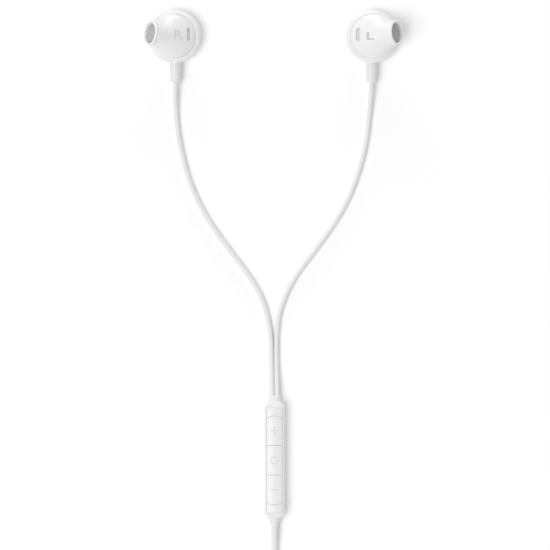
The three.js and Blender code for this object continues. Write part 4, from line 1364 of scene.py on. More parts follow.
        patch = self.screen_weave.patch(self.name("vent_screen_weave"), (reach_across, reach_along), rise)
        patch.data.transform(place)
        return patch

    def build(self) -> None:
        """Makes and fits every piece of the bud."""
        self.fit(self.back_shell(), SHELL, Slot.SHELL, self.name("back_shell"))
        self.fit(self.front_shell(), SHELL, Slot.SHELL, self.name("front_shell"))
        # A thin grey layer on the letter's floor: painted shade in the recess.
        floor = -self.letter_depth
        letter_shade_layer = self.letter(floor, floor + self.letter_shade_thickness).piece(self.name("side_letter"))
        self.fit(letter_shade_layer, LETTER_SHADE[self.side], Slot.SHELL)
        self.fit(self.cable_boot(), SOFT, Slot.SOFT, self.name("cable_boot"))
        self.fit(self.nozzle_mesh(), WIRE, Slot.MESH, self.name("nozzle_mesh"))
        self.fit(self.nozzle_felt(), FELT, Slot.DARK)
        self.fit(self.vent_screen(), THREAD, Slot.MESH, self.name("vent_screen"))
        felt = self.slot_plate(self.screen_margin, *self.felt_heights).piece(self.name("vent_felt"))
        self.fit(felt, PALE_FELT, Slot.SOFT)
        for part, finish in (
            ("driver_frame", DARK),
            ("driver_cover", STEEL),
            ("diaphragm", FILM),
            ("voice_coil", ENAMEL),
            ("top_plate", STEEL),
            ("magnet", NICKEL),
            ("yoke", STEEL),
            ("terminal_board", LACQUER),
        ):
            refinish(self.name(part), finish)


# ---------------------------------------------------------------- remote


@dataclass
class Remote(Assembly):
    """In-line remote, along Y from the end face of its lower collar."""

    width: float = 6.6
    # Height and inset of the tray's outside, from the table up.
    edges: tuple[Pair, ...] = (
        (0.0, 1.0),
        (0.22, 0.45),
        (0.7, 0.1),
        (1.5, 0.0),
        (2.99, 0.0),
        (3.69, 0.12),
        (4.03, 0.36),
        (4.15, 0.6),
    )
    collar_width: float = 4.1
    lower_shoulder: float = 1.9
    upper_shoulder: float = 2.1
    shoulder_bend: float = 0.5
    collar_draw: float = 0.6
    face_width: float = 4.8
    face_gap: float = 0.15
    fine_gap: float = 0.045
    face_corner: float = 0.4
    inner_corner: float = 0.3
    face_edge_z: float = 4.1
    crown_z: float = 4.45
    deck_z: float = 3.1
    deck_thickness: float = 0.4
    ledge: float = 0.35
    tray_floor: float = 0.8
    slip: float = 0.1
    joint: float = 0.1
    clear: float = 1.0
    axis_z: float = 2.0

    keys: tuple[str, ...] = ("volume_down", "play_pause", "volume_up")
    keys_length: float = 28.4
    pad_length: float = 2.5
    arch_rise: float = 0.9
    strip_corner: float = 0.18
    key_gap: float = 0.05
    key_travel: float = 0.25
    key_slip: float = 0.05
    key_edge: float = 0.11
    key_under_edge: float = 0.05
    plunger_radius: float = 0.7
    plunger_slip: float = 0.2
    plunger_foot: float = 1.2
    plunger_foot_z: float = 2.75
    mark_reach: float = 1.3
    mark_half: float = 0.2
    mark_root: float = 0.04
    mark_rise: float = 0.02
    mic_port_radius: float = 0.35
    mic_port_from_key: float = 11.97
    mic_port_top: float = 2.0

    # Distance past the tray, width and height of the split boot.
    split_rows: tuple[Triple, ...] = (
        (0.02, 4.08, 3.0),
        (0.4, 3.96, 2.9),
        (1.1, 3.78, 2.65),
        (1.8, 3.66, 2.27),
        (2.0, 3.5, 1.95),
    )
    split_neck: Pair = (2.8, 1.2)
    split_end: Pair = (0.04, 0.12)
    flange_grow: float = 0.6
    flange_width: float = 0.6
    lower_neck: float = 0.7
    lower_flange: float = 0.3
    lower_face: float = 1.84
    lower_boot_length: float = 2.1
    # Radius, share of the length and rounding of the lower boot's tapered end.
    lower_taper: tuple[Triple, ...] = ((1.74, 0.25, 0.3), (1.36, 0.8, 0.4), (1.2, 1.0, 0.1), (0.0, 1.0, 0.0))
    boot_seat: float = 0.4
    seat_slip: float = 0.02

    sides: int = 56
    plunger_sides: int = 40
    port_sides: int = 32
    circle_sides: int = 48
    bar_steps: int = 12
    tray_steps: int = 4
    curve_steps: int = 10
    side_steps: int = 24
    arch_steps: int = 16
    strip_steps: int = 4
    edge_steps: int = 5
    # Shares of the way from a cap's edge to the line that its top draws together on.
    top_shares: Triple = (0.25, 0.5, 0.75)
    sleeve_steps: int = 5

    def __post_init__(self) -> None:
        """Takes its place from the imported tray."""
        low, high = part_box("remote_tray")
        self.seat = Seat(Vector(((low.x + high.x) / 2, low.y, low.z)))
        self.face_length = self.keys_length + 2 * self.pad_length
        self.shoulder_top = self.lower_shoulder + self.face_length
        self.length = self.shoulder_top + self.upper_shoulder
        self.middle = self.lower_shoulder + self.face_length / 2
        self.pitch = self.keys_length / len(self.keys)
        self.deck_top = self.deck_z + self.deck_thickness
        self.strip_half = self.face_width / 2 + self.face_gap - self.fine_gap
        self.key_under = self.deck_top + self.key_travel + self.key_slip

    def outline(self, inset: float) -> Profile:
        """The tray's plan: straight sides and rounded shoulders, drawn in by an inset.

        Args:
            inset: from the widest outline.

        Returns:
            The points, counterclockwise.
        """
        side = self.width / 2 - inset
        collar = self.collar_width / 2 - self.collar_draw * inset
        low, high = inset, self.length - inset
        low_end, high_end = self.lower_shoulder + inset, self.shoulder_top - inset
        low_bend = low + self.shoulder_bend * self.lower_shoulder
        high_bend = high - self.shoulder_bend * self.upper_shoulder
        right = bend((collar, low), (side, low_bend), (side, low_end), self.curve_steps)
        count = self.side_steps
        right += [(side, low_end + (high_end - low_end) * i / count) for i in range(1, count)]
        right += bend((side, high_end), (side, high_bend), (collar, high), self.curve_steps)
        return right + [(-x, y) for x, y in reversed(right)]

    def block(self, width: float, length: float, low: float, high: float, corner: float) -> Shape:
        """An upright block over the middle of the face, between two heights."""
        outline = eased(oblong(width, length, corner), looped=True)
        return Shape().loft([[(x, y + self.middle, z) for x, y in outline] for z in (low, high)])

    def oval(self, rows: Iterable[Sequence[float]]) -> Shape:
        """A bar of oval section along Y, from rows of y, width and height."""
        turn = [(math.cos(a) / 2, math.sin(a) / 2) for a in round_angles(self.sides)]
        return Shape().loft([[(w * x, y, self.axis_z + h * z) for x, z in turn] for y, w, h in rows])

    def tray(self) -> Piece:
        """Back, side walls and shoulders, open at the face, with seats for both boots.

        Returns:
            The piece.
        """
        rows = smooth_rows(self.edges, self.tray_steps)
        tray = Shape().loft([[(x, y, z) for x, y in self.outline(inset)] for z, inset in rows])
        piece = tray.piece("remote_tray_moulding")
        wide, long = self.face_width + 2 * self.face_gap, self.face_length + 2 * self.face_gap
        work(piece, self.block(wide, long, self.deck_z, self.crown_z + self.clear, self.face_corner), Cut.AWAY)
        wide, long = wide - 2 * self.ledge, self.face_length - 2 * self.ledge
        work(piece, self.block(wide, long, self.tray_floor, self.deck_z + self.clear, self.inner_corner), Cut.AWAY)
        upper_hole = [size + 2 * self.slip for size in self.split_neck]
        lower_hole = [2 * (self.lower_neck + self.slip)] * 2
        lower_seat = [2 * (self.lower_face + self.seat_slip)] * 2
        upper_seat = [size + 2 * self.seat_slip for size in self.split_rows[0][1:]]
        past = self.length + self.clear
        for low, high, size in (
            (self.middle, past, upper_hole),
            (-self.clear, self.middle, lower_hole),
            (-self.clear, self.boot_seat, lower_seat),
            (self.length - self.boot_seat, past, upper_seat),
        ):
            work(piece, self.oval([(low, *size), (high, *size)]), Cut.AWAY)
        port = Shape().rod(self.mic_port_radius, -self.clear, self.mic_port_top, self.port_sides)
        work(piece, port.moved(self.on_face(self.mic_port_from_key)), Cut.AWAY)
        return piece

    def on_face(self, y: float) -> Matrix:
        """Carries what is drawn round Z to a distance from the middle of the face."""
        return Matrix.Translation((0, self.middle + y, 0))

    def crown(self, x: float) -> float:
        """The face strip's crowned top.

        Args:
            x: distance from its middle.

        Returns:
            Its height.
        """
        half, rise = self.face_width / 2, self.crown_z - self.face_edge_z
        radius = (half * half + rise * rise) / (2 * rise)
        return self.crown_z - radius + math.sqrt(radius * radius - x * x)

    def strip(self, low: float, high: float, low_arch: float, high_arch: float) -> Profile:
        """Plan outline across the face strip.

        Args:
            low: y of its lower corners.
            high: y of its upper corners.
            low_arch: how far the lower edge swells towards -Y.
            high_arch: how far the upper edge swells towards +Y.

        Returns:
            The points, counterclockwise, with rounded corners.
        """
        half, corner = self.strip_half, self.strip_corner
        lower = bend((-half, low), (0, low - 2 * low_arch), (half, low), self.arch_steps)[1:-1]
        upper = bend((half, high), (0, high + 2 * high_arch), (-half, high), self.arch_steps)[1:-1]
        rises = [low + (high - low) * i / self.curve_steps for i in range(1, self.curve_steps)]
        corners = [(-half, low, corner)] + [(x, y, 0.0) for x, y in lower]
        corners += [(half, low, corner)] + [(half, y, 0.0) for y in rises]
        corners += [(half, high, corner)] + [(x, y, 0.0) for x, y in upper]
        corners += [(-half, high, corner)] + [(-half, y, 0.0) for y in reversed(rises)]
        return eased(corners, looped=True, steps=self.strip_steps)

    def pillow(self, outline: Profile, low: float, spine: tuple[Pair, Pair]) -> Shape:
        """A cap with a crowned top, rounded edges and upright sides.

        Args:
            outline: its plan.
            low: height of its underside.
            spine: two ends of the line inside the plan that its top draws together on.

        Returns:
            The shape.
        """
        (x0, y0), (x1, y1) = spine
        edge, under = self.key_edge, self.key_under_edge
        inward = [Vector((min(max(x, x0), x1) - x, min(max(y, y0), y1) - y)) for x, y in outline]

        def ring(inset: float, share: float, height: Callable[[float], float]) -> list[Triple]:
            """The outline drawn in.

            Args:
                inset: by how much first.
                share: share of what is left that it is drawn in further.
                height: its height at a distance from the strip's middle.

            Returns:
                The points.
            """
            points = []
            for (x, y), towards in zip(outline, inward):
                drawn = inset / towards.length
                part = drawn + share * (1 - drawn)
                px, py = x + towards.x * part, y + towards.y * part
                points.append((px, py, height(px)))
            return points

        sections = [ring(under, 0, lambda x: low), ring(0, 0, lambda x: low + under)]
        sections.append(ring(0, 0, lambda x: self.crown(x) - edge))
        for angle in quarter_angles(self.edge_steps)[1:]:
            drop = edge * (1 - math.sin(angle))
            sections.append(ring(edge * (1 - math.cos(angle)), 0, lambda x, d=drop: self.crown(x) - d))
        sections += [ring(edge, share, self.crown) for share in self.top_shares]
        shape = Shape()
        rings = [shape.ring(section) for section in sections]
        for one, two in zip(rings, rings[1:]):
            shape.skin(one, two)
        shape.bm.faces.new(reversed(rings[0]))
        shape.skin(rings[-1], shape.ring(ring(edge, 1.0, self.crown)))
        return shape.moved(self.on_face(0))

    def key_middle(self, i: int) -> float:
        """The middle of key i, counted from the lower end, from the middle of the face."""
        return (i - (len(self.keys) - 1) / 2) * self.pitch

    def key(self, i: int) -> Piece:
        """A crowned cap on a plunger with a foot under the deck.

        Args:
            i: its number, counted from the lower end.

        Returns:
            The piece.
        """
        lowest, highest = i == 0, i == len(self.keys) - 1
        middle, half = self.key_middle(i), self.pitch / 2
        low = middle - half + (self.arch_rise if lowest else self.key_gap / 2)
        high = middle + half - (self.arch_rise if highest else self.key_gap / 2)
        low_arch, high_arch = self.arch_rise * lowest, self.arch_rise * highest
        reach = self.face_width / 2
        spine = ((0.0, low - low_arch + reach), (0.0, high + high_arch - reach))
        piece = self.pillow(self.strip(low, high, low_arch, high_arch), self.key_under, spine)
        cap = piece.piece(f"key_{self.keys[i]}_cap")
        foot, deck, top = self.plunger_foot_z, self.deck_z - self.key_slip, self.key_under + self.joint
        profile = [
            (0.0, foot, 0.0),
            (self.plunger_foot, foot, 0.08),
            (self.plunger_foot, deck, 0.05),
            (self.plunger_radius, deck, 0.0),
            (self.plunger_radius, top, 0.0),
            (0.0, top, 0.0),
        ]
        plunger = Shape().turned(eased(profile, steps=3), self.plunger_sides)
        work(cap, plunger.moved(self.on_face(middle)), Cut.JOIN)
        return cap

    def front_cover(self) -> Piece:
        """Deck under the keys, with a crowned pad at each end.

        Returns:
            The piece.
        """
        deck = self.block(self.face_width, self.face_length, self.deck_z, self.deck_top, self.inner_corner)
        piece = deck.piece("remote_front_cover_moulding")
        for i in range(len(self.keys)):
            bore = self.plunger_radius + self.plunger_slip
            hole = Shape().rod(bore, self.deck_z - self.clear, self.deck_top + self.clear, self.plunger_sides)
            work(piece, hole.moved(self.on_face(self.key_middle(i))), Cut.AWAY)
        shoulder = self.keys_length / 2 - self.arch_rise + self.key_gap
        end, rise = self.face_length / 2 + self.face_gap - self.fine_gap, self.arch_rise
        ridge = (shoulder + rise + end) / 2
        reach = (self.face_width - (end - shoulder - rise)) / 2
        for plan, y in (
            (self.strip(shoulder, end, -rise, 0.0), ridge),
            (self.strip(-end, -shoulder, 0.0, -rise), -ridge),
        ):
            work(piece, self.pillow(plan, self.deck_top - self.joint, ((-reach, y), (reach, y))), Cut.JOIN)
        return piece

    # marks on the keys

    def bar(self, y: float, reach: float, half: float) -> Shape:
        """A thin printed bar that follows the key's crown.

        Args:
            y: the middle of the bar, from the middle of the face.
            reach: half its size across the remote.
            half: half its size along the remote.

        Returns:
            The shape.
        """
        sections = []
        low, high = y + self.middle - half, y + self.middle + half
        for i in range(self.bar_steps + 1):
            x = reach * (2 * i / self.bar_steps - 1)
            under, over = self.crown(x) - self.mark_root, self.crown(x) + self.mark_rise
            sections.append([(x, low, under), (x, high, under), (x, high, over), (x, low, over)])
        return Shape().loft(sections)

    def circle(self, y: float) -> Shape:
        """A thin printed circle that follows the key's crown.

        Args:
            y: its middle, from the middle of the face.

        Returns:
            The shape.
        """
        inner, outer = self.mark_reach - 2 * self.mark_half, self.mark_reach
        under, over = -self.mark_root, self.mark_rise
        rings = []
        for radius, height in ((inner, under), (outer, under), (outer, over), (inner, over)):
            places = [(radius * math.cos(a), radius * math.sin(a)) for a in round_angles(self.circle_sides)]
            rings.append([(x, b + y + self.middle, self.crown(x) + height) for x, b in places])
        return Shape().loft(rings, looped=True)

    def marks(self) -> list[Piece]:
        """Minus, circle and plus.

        Returns:
            The pieces, from the lowest key up.
        """
        low, middle, high = (self.key_middle(i) for i in range(len(self.keys)))
        minus, circle, plus = (f"mark_{name}" for name in self.keys)
        long, short = self.mark_reach, self.mark_half
        cross = self.bar(high, long, short).piece(plus)
        work(cross, self.bar(high, short, long), Cut.JOIN)
        return [self.bar(low, long, short).piece(minus), self.circle(middle).piece(circle), cross]

    # boots

    def split_boot(self) -> Piece:
        """Oval boot for the two branch cords, with a neck and a flange inside the tray.

        Returns:
            The piece.
        """
        inside = self.length - self.upper_shoulder - self.ledge - self.slip
        seat = self.length + self.seat_slip - self.boot_seat
        flange = [size + self.flange_grow for size in self.split_neck]
        sleeve = smooth_rows(self.split_rows, self.sleeve_steps)
        end, width, height = sleeve[-1]
        past, drawn_in = self.split_end
        rows = [(inside - self.flange_width, *flange), (inside, *flange)]
        rows += [(inside, *self.split_neck), (seat, *self.split_neck), (seat, *sleeve[0][1:])]
        rows += [(self.length + y, w, h) for y, w, h in sleeve]
        rows += [(self.length + end + past, width - drawn_in, height - drawn_in)]
        return self.oval(rows).piece("split_boot_sleeve")

    def lower_boot(self) -> Piece:
        """Round tapered boot for the main cord.

        Returns:
            The piece.
        """
        inside = -self.lower_shoulder - self.ledge - self.slip
        seat = self.seat_slip - self.boot_seat
        flange = self.lower_neck + self.lower_flange
        corners = [
            (0.0, inside - self.flange_width, 0.0),
            (flange, inside - self.flange_width, 0.06),
            (flange, inside, 0.0),
            (self.lower_neck, inside, 0.0),
            (self.lower_neck, seat, 0.0),
            (self.lower_face, seat, 0.05),
            (self.lower_face, 0.0, 0.2),
        ]
        corners += [(radius, share * self.lower_boot_length, ease) for radius, share, ease in self.lower_taper]
        place = Matrix.Translation((0, 0, self.axis_z)) @ AXIS_DOWN
        return Shape().turned(eased(corners), self.sides).moved(place).piece("lower_boot_sleeve")

    def build(self) -> None:
        """Makes and fits every piece of the remote."""
        self.fit(self.tray(), SHELL, Slot.SHELL, "remote_tray")
        self.fit(self.front_cover(), KEY_TOP, Slot.SHELL, "remote_front_cover")
        for i, name in enumerate(self.keys):
            self.fit(self.key(i), KEY_TOP, Slot.SHELL, f"key_{name}", body=f"{name}_key")
        for name, mark in zip(self.keys, self.marks()):
            self.fit(mark, MARK, Slot.DARK, body=f"{name}_key")
        self.fit(self.split_boot(), SOFT, Slot.SOFT, "split_boot")
        self.fit(self.lower_boot(), SOFT, Slot.SOFT, "lower_boot")
        refinish("circuit_board", LACQUER)
        for part in ("microphone", *(f"switch_{name}" for name in self.keys)):
            refinish(part, STEEL)


# ---------------------------------------------------------------- plug


@dataclass
class Plug(Assembly):
    """Four-pole plug along +Y, from the cord's end of its boot."""

    boot_length: float = 8.0
    boot_straight: float = 0.8
    boot_radii: Pair = (1.5, 2.2)
    # Radius and place of the points of the hollow that the cord enters by, and their rounding.
    boot_well: tuple[Triple, ...] = ((0.0, 0.35, 0.0), (1.14, 0.35, 0.0), (1.2, 0.0, 0.12))
    grooves: Triple = (1.6, 3.1, 4.6)
    # The same for one groove, from the boot's own radius and the groove's place.
    groove_outline: tuple[Triple, ...] = ((0.0, 0.0, 0.12), (-0.14, 0.12, 0.1), (-0.12, 0.42, 0.1), (0.05, 0.54, 0.12))
    housing_length: float = 13.0
    radius: float = 2.8
    edge: float = 0.5
    # Depth and distance from the housing's face of the finger groove's points.
    grip: tuple[Pair, ...] = ((0.0, 2.6), (0.12, 2.45), (0.12, 2.05), (0.0, 1.9))
    grip_ease: float = 0.1
    housing_sides: int = 80
    neck_radius: float = 1.6
    neck_length: float = 2.5
    pin_length: float = 14.0
    pin_radius: float = 1.75
    pole_edge: float = 0.05
    rod_radius: float = 0.5
    shank_radius: float = 1.2
    shank_length: float = 4.0
    tip_length: float = 3.9
    # Radius, share of the length and rounding of the tip's points.
    tip_outline: tuple[Triple, ...] = ((1.75, 0.35, 0.25), (1.15, 0.5, 0.3), (1.65, 0.68, 0.35), (0.5, 0.96, 0.2))
    ring_length: float = 1.9
    insulator: float = 0.4
    seam: float = 0.05
    slip: float = 0.1

    def __post_init__(self) -> None:
        """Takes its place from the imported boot."""
        low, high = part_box("plug_boot")
        self.seat = Seat(Vector(((low.x + high.x) / 2, low.y, (low.z + high.z) / 2)))
        self.face = self.boot_length + self.housing_length
        self.bore = self.rod_radius + self.slip

    def along(self, name: str, corners: Sequence[Triple], sides: int = 64) -> Piece:
        """A piece turned round the plug's axis, with each corner rounded over its own distance."""
        return Shape().turned(eased(corners), sides).moved(AXIS_UP).piece(name)

    def boot(self) -> Piece:
        """Tapered strain relief with shallow grooves, and its neck inside the housing.

        Returns:
            The piece.
        """
        back, (start, end) = self.boot_length, self.boot_radii
        taper = back - self.boot_straight
        corners = [*self.boot_well, (start, 0.0, 0.2)]
        for y in self.grooves:
            radius = start + (end - start) * y / taper
            corners += [(radius + out, y + past, ease) for out, past, ease in self.groove_outline]
        corners += [
            (end, taper, 0.4),
            (end, back - self.seam, 0.06),
            (self.neck_radius, back - self.seam, 0.0),
            (self.neck_radius, back + self.neck_length, 0.1),
            (0.0, back + self.neck_length, 0.0),
        ]
        return self.along("plug_boot_sleeve", corners)

    def housing(self) -> Piece:
        """Barrel with rounded ends and a shallow finger groove near the pin.

        Returns:
            The piece.
        """
        back, face = self.boot_length, self.face
        bore, shank = self.neck_radius + self.slip, self.shank_radius + self.slip
        stop = back + self.neck_length + self.slip
        end = face - self.shank_length - self.seam
        corners = [
            (0.0, end, 0.0),
            (0.0, stop, 0.0),
            (bore, stop, 0.0),
            (bore, back, 0.05),
            (self.radius, back, self.edge),
            *((self.radius - depth, face - behind, self.grip_ease) for depth, behind in self.grip),
            (self.radius, face, self.edge),
            (shank, face, 0.06),
            (shank, end, 0.0),
            (0.0, end, 0.0),
        ]
        return self.along("plug_housing_barrel", corners, self.housing_sides)

    def pole(self, name: str, low: float, high: float) -> Piece:
        """A ring of the pin between two places along it.

        Args:
            name: the piece's name.
            low: where it starts.
            high: where it ends.

        Returns:
            The piece.
        """
        radius, ease = self.pin_radius, self.pole_edge
        corners = [(self.bore, low, 0.0), (radius, low, ease), (radius, high, ease), (self.bore, high, 0.0)]
        return self.along(name, corners + corners[:1])

    def sleeve(self, end: float) -> Piece:
        """The pole next to the housing, with its shank inside.

        Args:
            end: where it ends.

        Returns:
            The piece.
        """
        start, face = self.face - self.shank_length, self.face + self.seam
        corners = [
            (self.bore, start, 0.0),
            (self.shank_radius, start, self.pole_edge),
            (self.shank_radius, face, 0.0),
            (self.pin_radius, face, 0.08),
            (self.pin_radius, end, self.pole_edge),
            (self.bore, end, 0.0),
            (self.bore, start, 0.0),
        ]
        return self.along("plug_sleeve_pole", corners)

    def tip(self, low: float) -> Piece:
        """The pointed end, with the rod that runs back through the other poles.

        Args:
            low: where its head starts.

        Returns:
            The piece.
        """
        start, length = self.face - self.shank_length, self.tip_length
        corners = [
            (0.0, start, 0.0),
            (self.rod_radius, start, self.pole_edge),
            (self.rod_radius, low, 0.0),
            (self.pin_radius, low, self.pole_edge),
            *((radius, low + share * length, ease) for radius, share, ease in self.tip_outline),
            (0.0, low + length, 0.0),
        ]
        return self.along("plug_tip_pole", corners)

    def build(self) -> None:
        """Makes and fits every piece of the plug."""
        low = self.face + self.pin_length - self.tip_length - 2 * self.ring_length - 3 * self.insulator
        self.fit(self.boot(), SOFT, Slot.SOFT, "plug_boot")
        self.fit(self.housing(), SHELL, Slot.SHELL, "plug_housing")
        self.fit(self.sleeve(low), GOLD, Slot.GOLD, "plug_sleeve")
        insulator, ring = (self.insulator, DARK, Slot.DARK), (self.ring_length, GOLD, Slot.GOLD)
        for name, (length, finish, slot) in (
            ("plug_insulator_1", insulator),
            ("plug_ring_2", ring),
            ("plug_insulator_2", insulator),
            ("plug_ring_1", ring),
            ("plug_insulator_3", insulator),
        ):
            self.fit(self.pole(f"{name}_pole", low, low + length), finish, slot, name)
            low += length
        self.fit(self.tip(low), GOLD, Slot.GOLD, "plug_tip")


# ---------------------------------------------------------------- cords

# Routes are in metres, in the set's frame. The branches' rows: x of the right and of the left one, y and z of both.
BRANCHES = (
    (-0.0313, 0.0313, 0.0589, 0.0023), (-0.03138, 0.03128, 0.0566, 0.00205),
    (-0.0313, 0.03105, 0.053, 0.00135), (-0.03105, 0.0306, 0.0485, 0.00085),
    (-0.03035, 0.0299, 0.0421, 0.0008), (-0.0291, 0.02865, 0.0357, 0.0008),
    (-0.02745, 0.02675, 0.0293, 0.0008), (-0.025, 0.0243, 0.0229, 0.0008),
    (-0.0217, 0.02095, 0.0165, 0.0008), (-0.0175, 0.0167, 0.0101, 0.0008),
    (-0.01275, 0.01195, 0.0037, 0.0008), (-0.008, 0.00725, -0.0027, 0.0008),
    (-0.0042, 0.00385, -0.0091, 0.0008), (-0.002, 0.00175, -0.0155, 0.0008),
    (-0.00095, 0.00106, -0.0219, 0.0008), (-0.00068, 0.00098, -0.0275, 0.0008),
    (-0.00062, 0.00103, -0.032, 0.0009), (-0.00055, 0.00111, -0.036, 0.0015),
    (-0.00048, 0.00116, -0.0384, 0.00192), (-0.00047, 0.00117, -0.0401, 0.002),
)
ROUTES = {side: [(row[i], *row[2:]) for row in BRANCHES] for i, side in enumerate(Side)}
MAIN_ROUTE = (
    (0.00035, -0.0826, 0.002), (0.00035, -0.0846, 0.00185), (0.00033, -0.088, 0.0013),
    (0.0003, -0.092, 0.0011), (0.00028, -0.098, 0.0011), (0.0003, -0.1035, 0.0011),
    (0.00033, -0.1085, 0.0011), (0.00035, -0.1125, 0.0011), (0.00035, -0.1153, 0.0011),
)
TAIL_ROUTE = (
    (0.00035, -0.1347, 0.0035), (0.00035, -0.1368, 0.0028), (0.00035, -0.1394, 0.0019),
    (0.00015, -0.1422, 0.0013), (-0.0014, -0.1456, 0.0011), (-0.00565, -0.1474, 0.0011),
    (-0.0099, -0.1456, 0.0011), (-0.0115, -0.1416, 0.00135), (-0.01165, -0.1385, 0.0021),
    (-0.01165, -0.1355, 0.0027), (-0.01165, -0.1333, 0.0028),
)
AHEAD = Vector((0, 1, 0))


def smooth_route(route: Sequence[Sequence[float]], step: float = 0.8 * MM) -> list[Vector]:
    """A smooth line through the points of a route.

    Args:
        route: the points.
        step: about how far apart the line's own points are.

    Returns:
        The line's points.
    """
    points = [Vector(p) for p in route]
    padded = [2 * points[0] - points[1]] + points + [2 * points[-1] - points[-2]]
    line = [points[0]]
    for a, b, c, d in zip(padded, padded[1:], padded[2:], padded[3:]):
        span = (c - b).length
        leave = ((c - a) / (c - a).length) * span
        arrive = ((d - b) / (d - b).length) * span
        count = max(1, round(span / step))
        line += [hermite(i / count, b, leave, c, arrive) for i in range(1, count + 1)]
    return line


def length_of(line: Sequence[Vector]) -> float:
    """A line's length."""
    return sum((b - a).length for a, b in zip(line, line[1:]))


def tube(line: Sequence[Vector], radius: float, sides: int) -> Shape:
    """A round tube along a line, closed at both ends.

    Args:
        line: its centreline.
        radius: of its section.
        sides: of its section.

    Returns:
        The shape.
    """
    normal = Vector((0.0, 0.0, 1.0))
    sections = []
    for i, point in enumerate(line):
        along = (line[min(i + 1, len(line) - 1)] - line[max(i - 1, 0)]).normalized()
        normal = (normal - along * normal.dot(along)).normalized()
        across = along.cross(normal)
        around = [normal * math.cos(a) + across * math.sin(a) for a in round_angles(sides)]
        sections.append([point + radius * out for out in around])
    return Shape().loft(sections)


